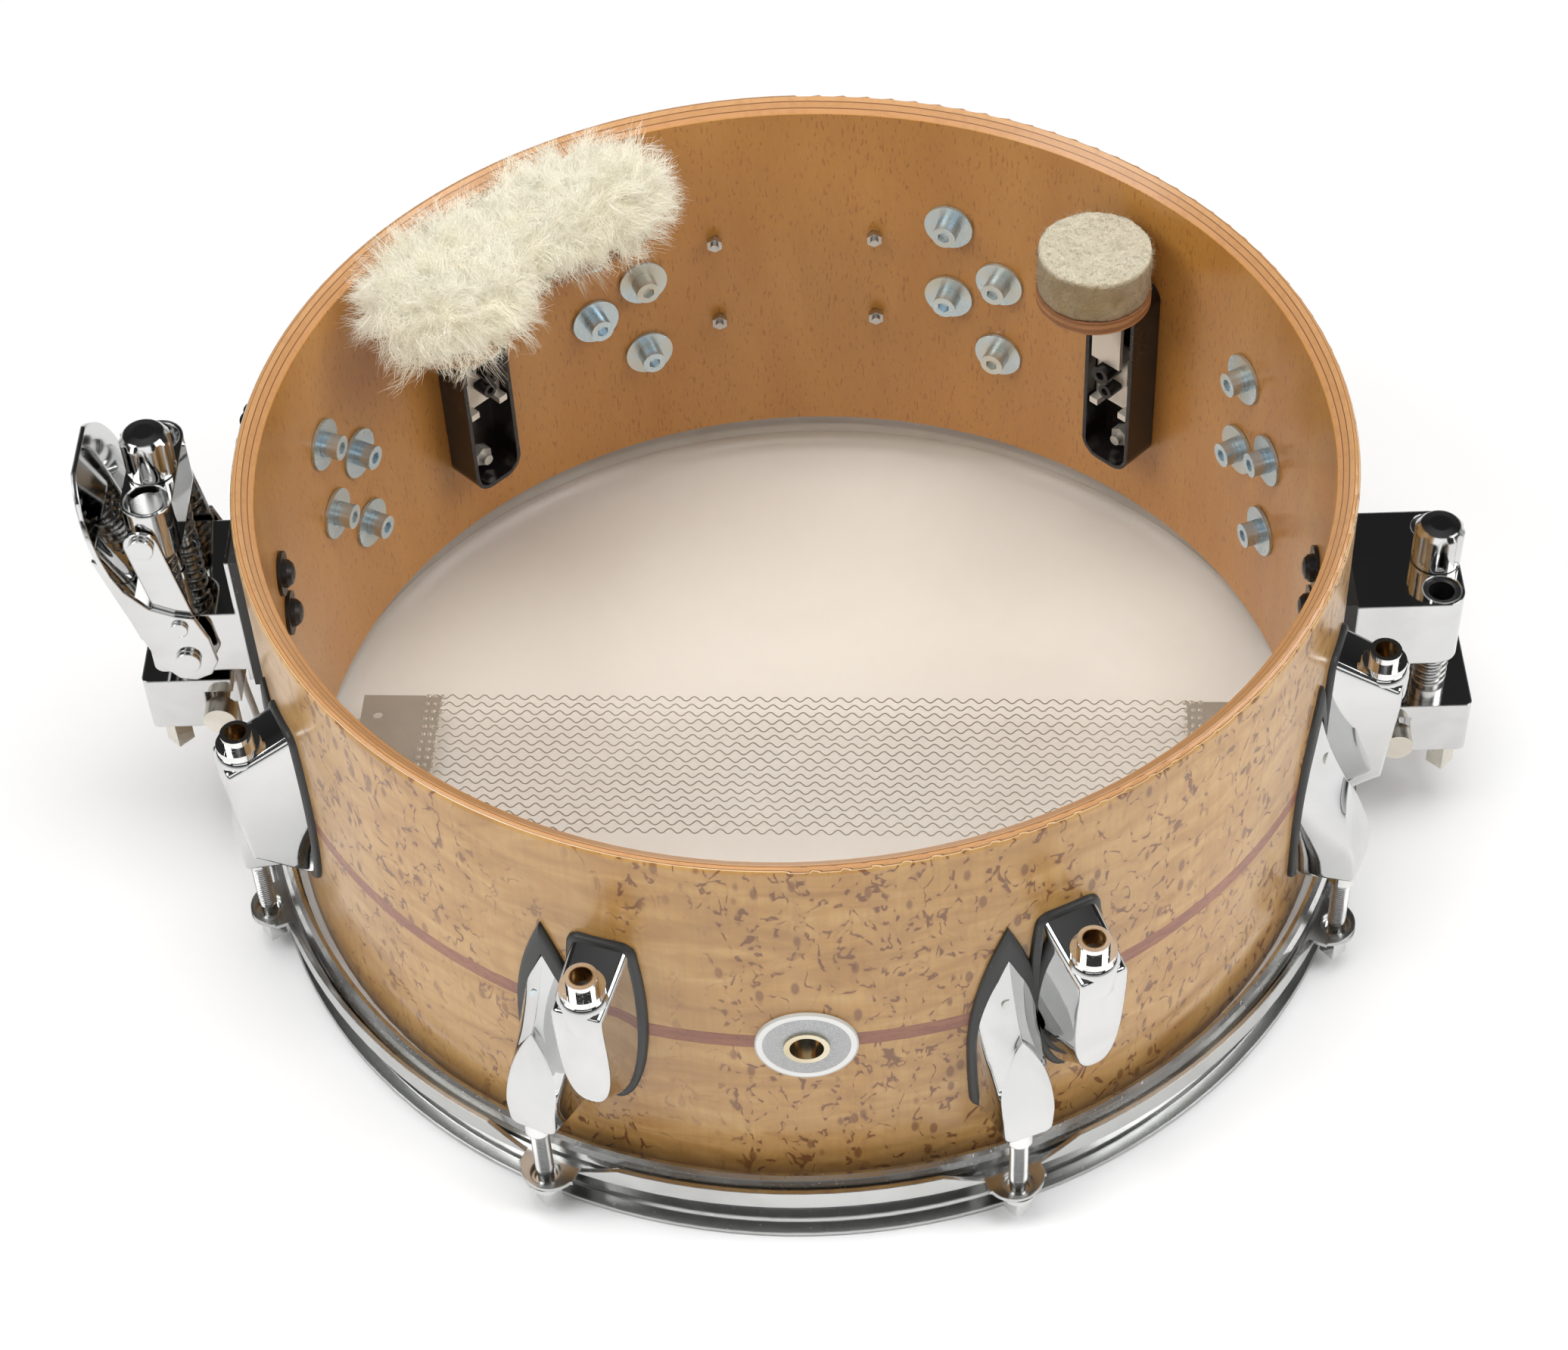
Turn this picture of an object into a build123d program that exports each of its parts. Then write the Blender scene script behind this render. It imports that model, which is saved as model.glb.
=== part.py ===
from build123d import *
import os
from math import cos, pi, radians, sin, sqrt

# A 14 inch wooden snare drum standing on its snare side, batter head and hoop taken off.
# Millimetres. Origin on the drum's axis at the floor, +Z up.
# -Y is the front with the vent, -X the throw-off and +X the butt end.

os.makedirs("parts", exist_ok=True)

# --- Shell -------------------------------------------------------------------------------
SHELL_R = 177.5
WALL = 7.0
SHELL_IN = SHELL_R - WALL
SHELL_LOW = 14.8
SHELL_LENGTH = 152.4
SHELL_TOP = SHELL_LOW + SHELL_LENGTH
EDGE_PEAK_R = 175.3
EDGE_BEVEL = 4.2
EDGE_ROUND = 2.2
INLAY_LOW = 85.0
INLAY_HIGH = 91.0
INLAY_DEPTH = 0.8
SKIN_GAP = 0.05
VENT_Z = 87.0
VENT_TUBE_R = 6.2
VENT_BORE_R = 5.15
BADGE_R = 15.5
NAMEPLATE_HOLES = [(y, z) for y in (-29.0, 29.0) for z in (73.0, 110.0)]

# --- Snare head and hoop -----------------------------------------------------------------
FILM = 0.3
HOOP_WALL_R = 182.8
HOOP_LIP_R = 188.0
HOOP_SKIRT_R = 189.0
HOOP_SHEET = 1.6
EAR_TOP = 18.5
SKIRT_TOP = 25.0
EAR_R = 199.0
EAR_HALF = 9.5
EAR_HOLE_R = 4.8

# --- Lugs and rods -----------------------------------------------------------------------
LUG_COUNT = 8
LUG_START = 22.5
LUG_SHIFT = 3.3
ROD_CIRCLE = 192.8
GASKET_OUT = 179.0
BATTER_SCREWS_Z = (118.5, 85.9)
SNARE_SCREWS_Z = (97.2, 63.5)
SCREW_R = 2.4
SCREW_HOLE_R = 2.6
ROD_R = 3.0
ROD_FIT = 0.05

# --- Throw-off and butt end --------------------------------------------------------------
ANCHOR_HALF = 22.0
POST_Y = 14.5
SPINDLE_R = 2.5
THROW_X = -204.0
THROW_LOW = 91.0
THROW_HIGH = 117.0
CARRIAGE_LOW = 143.0
CARRIAGE_TOP = 162.0
THROW_PIN = (-206.3, 151.2)
THROW_RIVET = (-200.1, 115.7)
LEVER_PIVOT = (-199.6, 101.0)
THROW_SCREWS_Z = (113.0, 94.5)
BUTT_X = 209.0
BUTT_POST_R = 4.15
BUTT_BLOCK_LOW = 33.7
BUTT_BLOCK_HIGH = 55.6
THROW_BLOCK_LOW = 64.0
THROW_BLOCK_HIGH = 86.0
BLOCK_IN = 5.6
BLOCK_OUT = 14.6
BUTT_LOW = 77.0
BUTT_HIGH = 104.0
BUTT_SCREWS_Z = (101.0, 82.5)
KNOB_R = 8.1
KNOB_HEIGHT = 15.6

# --- Snare wires -------------------------------------------------------------------------
SNARE_Z = 13.0
SNARE_SKEW = -2.93
SNARE_SHIFT = -2.5
STRANDS = 18
STRAND_PITCH = 3.62
STRAND_R = 1.15
STRAND_HALF = 139.0
PLATE_IN = 133.0
PLATE_OUT = 161.0
CORD_R = 1.25
CORD_IN = 9.0
CORD_ENDS = (-2.0, 15.5)

# --- Dampers -----------------------------------------------------------------------------
RAIL_BACK = 169.8
RAIL_FRONT = 156.0
RAIL_HALF = 10.7
RAIL_LOW = 47.0
RAIL_HIGH = 128.0
RAIL_BOLTS_Z = (RAIL_LOW + 7.0, RAIL_HIGH - 7.0)
FELT_AZIMUTH = 45.0
FLEECE_AZIMUTH = 135.0
FELT_SLIDE_LOW = 73.0
FLEECE_SLIDE_LOW = 83.0
SLIDE_TALL = 28.0
PLATE_RISE = 59.0
PLY = 5.0
FELT_R = 19.5
FELT_THICK = 17.0
FELT_CIRCLE = 146.0


def save(name, *solids):
    """Write one node: a single solid, or a group of separate solids."""
    shape = solids[0] if len(solids) == 1 else Compound(children=list(solids))
    export_step(shape, f"parts/{name}.step")


def turned(points):
    """Solid of revolution about Z from a closed outline of (radius, height) points."""
    outline = Polyline(*[(r, 0, z) for r, z in points], close=True)
    return revolve(make_face(outline), Axis.Z, 360)


def post(x, y, low, high, radius):
    """Upright cylinder between two heights."""
    return Pos(x, y, (low + high) / 2) * Cylinder(radius, high - low)


def pipe(x, y, low, high, outer, inner):
    """Upright tube between two heights."""
    return post(x, y, low, high, outer) - post(x, y, low - 1, high + 1, inner)


def block(x0, x1, y0, y1, z0, z1):
    """Box between two corners."""
    centre = Pos((x0 + x1) / 2, (y0 + y1) / 2, (z0 + z1) / 2)
    return centre * Box(x1 - x0, y1 - y0, z1 - z0)


def rod_x(x0, x1, y, z, radius):
    """Cylinder along X between two places."""
    return Pos((x0 + x1) / 2, y, z) * Rot(0, 90, 0) * Cylinder(radius, x1 - x0)


def rod_y(x, y0, y1, z, radius):
    """Cylinder along Y between two places."""
    return Pos(x, (y0 + y1) / 2, z) * Rot(90, 0, 0) * Cylinder(radius, y1 - y0)


def toward(front, start, end):
    """Y limits of a stretch measured from the middle towards the front side."""
    return min(front * start, front * end), max(front * start, front * end)


def around(azimuth, shape):
    """Turn a shape made on the +X side to an azimuth about the drum's axis."""
    return Rot(0, 0, azimuth) * shape


def plate_xz(outline, y0, y1):
    """Plate of an XZ outline between two Y planes."""
    face = make_face(Polyline(*[(x, y0, z) for x, z in outline], close=True))
    return extrude(face, amount=y1 - y0, dir=(0, 1, 0))


LUG_AZIMUTHS = [LUG_START + 360 / LUG_COUNT * k for k in range(LUG_COUNT)]
BATTER_AZIMUTHS = [a + LUG_SHIFT for a in LUG_AZIMUTHS]
SNARE_AZIMUTHS = [a - LUG_SHIFT for a in LUG_AZIMUTHS]


# --- Shell, inlay, vent and nameplate ----------------------------------------------------
def radial_holes():
    """Cutters for every hole through the shell's wall."""
    x0 = SHELL_IN - 5
    x1 = SHELL_R + 5
    cutters = []
    for azimuth in BATTER_AZIMUTHS:
        cutters += [around(azimuth, rod_x(x0, x1, 0, z, SCREW_HOLE_R)) for z in BATTER_SCREWS_Z]
    for azimuth in SNARE_AZIMUTHS:
        cutters += [around(azimuth, rod_x(x0, x1, 0, z, SCREW_HOLE_R)) for z in SNARE_SCREWS_Z]
    cutters += [around(180, rod_x(x0, x1, 0, z, SCREW_HOLE_R)) for z in THROW_SCREWS_Z]
    cutters += [rod_x(x0, x1, 0, z, SCREW_HOLE_R) for z in BUTT_SCREWS_Z]
    cutters.append(around(270, rod_x(x0, x1, 0, VENT_Z, VENT_TUBE_R + SKIN_GAP)))
    for azimuth in (FELT_AZIMUTH, FLEECE_AZIMUTH):
        cutters += [around(azimuth, rod_x(x0, x1, 0, z, 2.2)) for z in RAIL_BOLTS_Z]
    for y, z in NAMEPLATE_HOLES:
        cutters.append(around(90, rod_x(x0 - 5, x1 + 5, y, z, 1.7)))
    return cutters


HOLES = radial_holes()


def make_shell():
    """Ply shell with bevelled bearing edges, a groove for the inlay and all its holes."""
    inner = Polyline(
        (EDGE_PEAK_R, 0, SHELL_LOW),
        (SHELL_IN, 0, SHELL_LOW + EDGE_BEVEL),
        (SHELL_IN, 0, SHELL_TOP - EDGE_BEVEL),
        (EDGE_PEAK_R, 0, SHELL_TOP),
    )
    bend = EDGE_ROUND * (1 - sqrt(0.5))
    top = ThreePointArc(
        (EDGE_PEAK_R, 0, SHELL_TOP),
        (SHELL_R - bend, 0, SHELL_TOP - bend),
        (SHELL_R, 0, SHELL_TOP - EDGE_ROUND),
    )
    side = Line((SHELL_R, 0, SHELL_TOP - EDGE_ROUND), (SHELL_R, 0, SHELL_LOW + EDGE_ROUND))
    low = ThreePointArc(
        (SHELL_R, 0, SHELL_LOW + EDGE_ROUND),
        (SHELL_R - bend, 0, SHELL_LOW + bend),
        (EDGE_PEAK_R, 0, SHELL_LOW),
    )
    body = revolve(make_face([inner, top, side, low]), Axis.Z, 360)
    groove_in = SHELL_R - INLAY_DEPTH
    groove = turned([
        (groove_in, INLAY_LOW), (SHELL_R + 2, INLAY_LOW),
        (SHELL_R + 2, INLAY_HIGH), (groove_in, INLAY_HIGH),
    ])
    save("shell", body - groove - HOLES)
    band_in = groove_in + SKIN_GAP
    band = turned([
        (band_in, INLAY_LOW + SKIN_GAP), (SHELL_R, INLAY_LOW + SKIN_GAP),
        (SHELL_R, INLAY_HIGH - SKIN_GAP), (band_in, INLAY_HIGH - SKIN_GAP),
    ])
    save("inlay_band", band - HOLES)


def skin(low, high, inner, outer):
    """Band between two radii and two heights, wrapped on the shell."""
    return turned([(inner, low), (outer, low), (outer, high), (inner, high)])


def make_vent():
    """Round badge wrapped on the shell and the flanged grommet that clamps it."""
    wrap = skin(VENT_Z - 20, VENT_Z + 20, SHELL_R + SKIN_GAP, SHELL_R + 1.0)
    disc = around(270, rod_x(SHELL_R - 10, SHELL_R + 10, 0, VENT_Z, BADGE_R))
    bore = around(270, rod_x(SHELL_R - 20, SHELL_R + 20, 0, VENT_Z, VENT_TUBE_R + SKIN_GAP))
    save("vent_badge", (wrap & disc) - bore)
    tube = rod_x(SHELL_IN - 0.6, SHELL_R + 1.6, 0, VENT_Z, VENT_TUBE_R)
    flange = rod_x(SHELL_R + 1.05, SHELL_R + 1.9, 0, VENT_Z, 6.9)
    flare = rod_x(SHELL_IN - 1.4, SHELL_IN - 0.6, 0, VENT_Z, 7.6)
    hole = rod_x(SHELL_IN - 5, SHELL_R + 5, 0, VENT_Z, VENT_BORE_R)
    save("vent_grommet", around(270, (tube + flange + flare) - hole))


def make_nameplate():
    """Blank plate at the back on four studs with nuts inside the shell."""
    wrap = skin(60, 124, SHELL_R + SKIN_GAP, SHELL_R + 1.3)
    sheet = Pos(SHELL_R, 0, 91.5) * Rot(0, 90, 0) * extrude(RectangleRounded(50, 70, 6), 10, both=True)
    plate = around(90, sheet) & wrap
    holes = [around(90, rod_x(150, 190, y, z, 1.65)) for y, z in NAMEPLATE_HOLES]
    save("rear_nameplate", plate - holes)
    studs = []
    for y, z in NAMEPLATE_HOLES:
        face = sqrt(SHELL_R**2 - y**2)
        inside = sqrt(SHELL_IN**2 - y**2)
        shank = rod_x(inside - 5.5, face + 2.1, y, z, 1.5)
        head = rod_x(face + 2.0, face + 3.4, y, z, 3.0)
        nut = Pos(inside - 2.8, y, z) * Rot(0, 90, 0) * extrude(RegularPolygon(3.0, 6), 1.2, both=True)
        studs.append(around(90, shank + head + nut))
    save("nameplate_studs", *studs)


# --- Snare head, hoop and rods -----------------------------------------------------------
def make_snare_head():
    """Clear film with its collar, and the flesh hoop that grips it."""
    under = SHELL_LOW - SKIN_GAP
    film = turned([
        (0, under - FILM), (177.0, under - FILM), (178.7, under + 1.2), (180.9, 21.5),
        (180.5, 21.6), (178.3, under + 1.4), (176.8, under), (0, under),
    ])
    save("snare_head_film", film)
    low = EAR_TOP + SKIN_GAP
    ring = turned([
        (180.1, low), (184.4, low), (185.2, low + 1.2), (185.2, low + 4.6), (184.0, low + 6.4),
        (182.4, low + 6.8), (181.0, low + 6.2), (180.95, low + 0.9),
    ])
    save("snare_head_flesh_hoop", ring)


def make_hoop():
    """Flanged steel hoop: outward lip, wall, ears for the rods and a scalloped skirt."""
    wall_in = HOOP_WALL_R - HOOP_SHEET
    ring = turned([
        (wall_in, EAR_TOP), (wall_in, 1.4), (wall_in + 1.4, 0), (HOOP_LIP_R - 0.6, 0),
        (HOOP_LIP_R, 0.6), (HOOP_LIP_R - 0.4, HOOP_SHEET), (HOOP_WALL_R + 0.8, HOOP_SHEET),
        (HOOP_WALL_R, HOOP_SHEET + 0.8), (HOOP_WALL_R, EAR_TOP - HOOP_SHEET),
        (HOOP_SKIRT_R - 0.8, EAR_TOP - HOOP_SHEET), (HOOP_SKIRT_R, EAR_TOP - HOOP_SHEET + 0.8),
        (HOOP_SKIRT_R, SKIRT_TOP), (HOOP_SKIRT_R - HOOP_SHEET, SKIRT_TOP),
        (HOOP_SKIRT_R - HOOP_SHEET, EAR_TOP),
    ])
    scallop_half = 25.0
    notch = make_face([
        Line((180, -EAR_HALF, EAR_TOP), (180, EAR_HALF, EAR_TOP)),
        Spline((180, EAR_HALF, EAR_TOP), (180, 17.0, 22.0), (180, scallop_half, SKIRT_TOP + 1)),
        Line((180, scallop_half, SKIRT_TOP + 1), (180, -scallop_half, SKIRT_TOP + 1)),
        Spline((180, -scallop_half, SKIRT_TOP + 1), (180, -17.0, 22.0), (180, -EAR_HALF, EAR_TOP)),
    ])
    cutter = extrude(notch, amount=14, dir=(1, 0, 0))
    ring = ring - [around(a, cutter) for a in SNARE_AZIMUTHS]
    low = EAR_TOP - HOOP_SHEET
    ear = block(HOOP_WALL_R - 0.5, EAR_R - 6, -EAR_HALF, EAR_HALF, low, EAR_TOP)
    nose = post(EAR_R - EAR_HALF, 0, low, EAR_TOP, EAR_HALF)
    hole = post(ROD_CIRCLE, 0, 0, 40, EAR_HOLE_R)
    inside = post(0, 0, low - 1, EAR_TOP + 1, wall_in)
    ears = [around(a, (ear + nose) - inside) for a in SNARE_AZIMUTHS]
    ring = (ring + ears) - [around(a, hole) for a in SNARE_AZIMUTHS]
    gates = [block(sign * 192 - 14, sign * 192 + 14, -34, 34, 4.0, 15.0) for sign in (-1, 1)]
    save("snare_side_hoop", ring - gates)


def make_rods():
    """Eight square-headed tension rods, each free to turn, and their washers."""
    washers = []
    for index, azimuth in enumerate(SNARE_AZIMUTHS, 1):
        head = Pos(ROD_CIRCLE, 0, 8.9) * Rot(0, 0, azimuth) * Box(6, 6, 8.4)
        flange = post(ROD_CIRCLE, 0, 13.1, 15.3, 5.2)
        shank = post(ROD_CIRCLE, 0, 15.3, 21.0, 2.6)
        thread = post(ROD_CIRCLE, 0, 21.0, 62.0, ROD_R)
        save(f"tension_rod_{index}", around(azimuth, head + flange + shank + thread))
        washers.append(around(azimuth, pipe(ROD_CIRCLE, 0, 15.4, 16.8, 6.4, 3.7)))
    save("tension_rod_washers", *washers)


# --- Lugs --------------------------------------------------------------------------------
def keel_outline(x, half, tip, wide, low, bottom):
    """Pointed arch in the plane at x: tip up, widest at wide, round at the bottom."""
    foot = half * 0.86
    shoulder = (x, half * 0.66, wide + (tip - wide) * 0.52)
    mirror = (x, -half * 0.66, wide + (tip - wide) * 0.52)
    return make_face([
        ThreePointArc((x, 0, tip), shoulder, (x, half, wide)),
        Line((x, half, wide), (x, foot, low)),
        ThreePointArc((x, foot, low), (x, 0, bottom), (x, -foot, low)),
        Line((x, -foot, low), (x, -half, wide)),
        ThreePointArc((x, -half, wide), mirror, (x, 0, tip)),
    ])


def boot_outline(x, top_half, half, top, side_high, side_low, tip):
    """Square-topped outline in the plane at x that narrows to a rounded toe."""
    toe = (side_low - tip) * 0.55 + tip
    return make_face([
        Line((x, -top_half, top), (x, top_half, top)),
        ThreePointArc((x, top_half, top), (x, half * 0.94, top - (top - side_high) * 0.42),
                      (x, half, side_high)),
        Line((x, half, side_high), (x, half * 0.96, side_low)),
        ThreePointArc((x, half * 0.96, side_low), (x, half * 0.62, toe), (x, 0, tip)),
        ThreePointArc((x, 0, tip), (x, -half * 0.62, toe), (x, -half * 0.96, side_low)),
        Line((x, -half * 0.96, side_low), (x, -half, side_high)),
        ThreePointArc((x, -half, side_high), (x, -half * 0.94, top - (top - side_high) * 0.42),
                      (x, -top_half, top)),
    ])


def lug_screws_for(azimuth, heights):
    """Screw, flat washer and spring washer at each of a lug's two fixings."""
    screws = []
    washers = []
    for z in heights:
        face = SHELL_IN
        shank = rod_x(face - 3.2, face + 12.5, 0, z, SCREW_R)
        head = rod_x(face - 7.5, face - 3.1, 0, z, 4.3)
        socket = Pos(face - 7.5, 0, z) * Rot(0, 90, 0) * extrude(RegularPolygon(2.3, 6), 1.8, both=True)
        screws.append(around(azimuth, (head - socket) + shank))
        flat = rod_x(face - 1.5, face - 0.3, 0, z, 9.0) - rod_x(face - 3, face + 1, 0, z, 2.6)
        coil = rod_x(face - 3.05, face - 1.55, 0, z, 4.4) - rod_x(face - 4, face, 0, z, 2.7)
        washers += [around(azimuth, flat), around(azimuth, coil)]
    return screws, washers


def make_lugs():
    """Both rings of lugs with gaskets, swivel nuts and inside fixings."""
    seat = post(0, 0, 30, 150, GASKET_OUT + SKIN_GAP)
    keel = loft([
        keel_outline(176.5, 10.0, 131.0, 76.0, 54.0, 46.5),
        keel_outline(188.0, 8.9, 97.0, 72.0, 51.0, 43.0),
        keel_outline(199.0, 6.9, 74.0, 62.0, 49.0, 41.5),
    ])
    boot = loft([
        boot_outline(176.5, 8.6, 10.9, 126.5, 117.0, 97.0, 52.0),
        boot_outline(188.0, 6.4, 8.6, 122.8, 115.0, 92.0, 59.0),
        boot_outline(199.5, 4.9, 7.3, 119.5, 112.0, 88.0, 70.5),
    ])
    crown = post(ROD_CIRCLE, 0, 104, 121.4, 7.9)
    nut_bore = post(ROD_CIRCLE, 0, 103, 130, 5.1)
    snare_bore = post(ROD_CIRCLE, 0, 35, 58.2, 4.4)
    tip_bore = post(ROD_CIRCLE, 0, 58, 64, ROD_R + 0.8)
    batter_taps = [rod_x(170, SHELL_IN + 13, 0, z, SCREW_R + ROD_FIT) for z in BATTER_SCREWS_Z]
    snare_taps = [rod_x(170, SHELL_IN + 13, 0, z, SCREW_R + ROD_FIT) for z in SNARE_SCREWS_Z]
    collar_seat = post(ROD_CIRCLE, 0, 121.4, 135, 7.2)
    batter = (boot + crown) - seat - nut_bore - collar_seat - batter_taps
    snare = keel - seat - snare_bore - tip_bore - snare_taps
    save("batter_lugs", *[around(a, batter) for a in BATTER_AZIMUTHS])
    save("snare_lugs", *[around(a, snare) for a in SNARE_AZIMUTHS])

    wrap = skin(40, 135, SHELL_R + SKIN_GAP, GASKET_OUT)
    boot_pad = extrude(boot_outline(165, 9.8, 11.8, 128.2, 117.0, 97.0, 50.0), 25, dir=(1, 0, 0))
    keel_pad = extrude(keel_outline(165, 10.8, 133.5, 75.0, 56.0, 50.0), 25, dir=(1, 0, 0))
    screw_ways = [rod_x(165, 190, 0, z, SCREW_HOLE_R) for z in BATTER_SCREWS_Z]
    save("batter_lug_gaskets", *[around(a, (boot_pad - screw_ways) & wrap) for a in BATTER_AZIMUTHS])
    screw_ways = [rod_x(165, 190, 0, z, SCREW_HOLE_R) for z in SNARE_SCREWS_Z]
    save("snare_lug_gaskets", *[around(a, (keel_pad - screw_ways) & wrap) for a in SNARE_AZIMUTHS])

    collar = post(ROD_CIRCLE, 0, 121.5, 124.2, 6.9)
    ring = post(ROD_CIRCLE, 0, 124.2, 128.6, 4.9)
    barrel = post(ROD_CIRCLE, 0, 104, 121.5, 5.0)
    batter_nut = (collar + ring + barrel) - post(ROD_CIRCLE, 0, 100, 130, 3.3)
    snare_nut = pipe(ROD_CIRCLE, 0, 42.5, 58.0, 4.3, ROD_R + ROD_FIT)
    nuts = [around(a, batter_nut) for a in BATTER_AZIMUTHS]
    nuts += [around(a, snare_nut) for a in SNARE_AZIMUTHS]
    save("swivel_nuts", *nuts)

    screws = []
    washers = []
    for heights, azimuths in ((BATTER_SCREWS_Z, BATTER_AZIMUTHS), (SNARE_SCREWS_Z, SNARE_AZIMUTHS)):
        for azimuth in azimuths:
            more_screws, more_washers = lug_screws_for(azimuth, heights)
            screws += more_screws
            washers += more_washers
    save("lug_screws", *screws)
    save("lug_washers", *washers)


# --- Shared throw-off and butt pieces ----------------------------------------------------
def knob(x, low):
    """Fluted, domed hand knob standing on a height."""
    body = post(x, 0, low, low + KNOB_HEIGHT - 2.5, KNOB_R)
    dome = turned([(0, 0), (KNOB_R, 0), (KNOB_R - 1.6, 1.9), (KNOB_R - 4.5, 2.5), (0, 2.5)])
    flutes = [
        Pos(x, 0, 0) * Rot(0, 0, 45 * k) * post(KNOB_R + 1.6, 0, low + 1.5, low + 20, 2.4)
        for k in range(8)
    ]
    return body + Pos(x, 0, low + KNOB_HEIGHT - 2.5) * dome - flutes


def spring(x, y, low, high, radius, wire, turns):
    """Open coil spring standing on a height."""
    path = Helix((high - low) / turns, high - low, radius)
    section = Plane(origin=path @ 0, z_dir=path % 0) * Circle(wire)
    return Pos(x, y, low) * sweep(section, path, is_frenet=True)


def mount_screw(sign, z, length):
    """Black screw with a large washer, from inside the shell into a housing."""
    inside = SHELL_IN - 0.1
    washer = rod_x(inside - 1.4, inside - 0.1, 0, z, 7.5)
    dome = Pos(inside - 1.4, 0, z) * Rot(0, -90, 0) * turned(
        [(0, 0), (4.8, 0), (4.6, 1.4), (3.4, 2.8), (1.8, 3.4), (0, 3.5)]
    )
    shank = rod_x(inside - 1.5, inside + length, 0, z, SCREW_R)
    return around(0 if sign > 0 else 180, washer + dome + shank)


def anchor_gasket(sign, low, high):
    """Pad that fills the gap between the round shell and a flat-backed housing."""
    pad = block(165, 180.6, -ANCHOR_HALF - 1, ANCHOR_HALF + 1, low, high)
    pad = pad - post(0, 0, low - 1, high + 1, SHELL_R + SKIN_GAP)
    return around(0 if sign > 0 else 180, pad)


# --- Throw-off ---------------------------------------------------------------------------
def rounded_bar(start, end, half, y0, y1):
    """Flat bar with round ends between two (x, z) centres."""
    dx = end[0] - start[0]
    dz = end[1] - start[1]
    size = sqrt(dx * dx + dz * dz)
    side = (-dz / size * half, dx / size * half)
    outline = [
        (start[0] + side[0], start[1] + side[1]), (end[0] + side[0], end[1] + side[1]),
        (end[0] - side[0], end[1] - side[1]), (start[0] - side[0], start[1] - side[1]),
    ]
    ends = [rod_y(place[0], y0, y1, place[1], half) for place in (start, end)]
    return plate_xz(outline, y0, y1) + ends[0] + ends[1]


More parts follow.
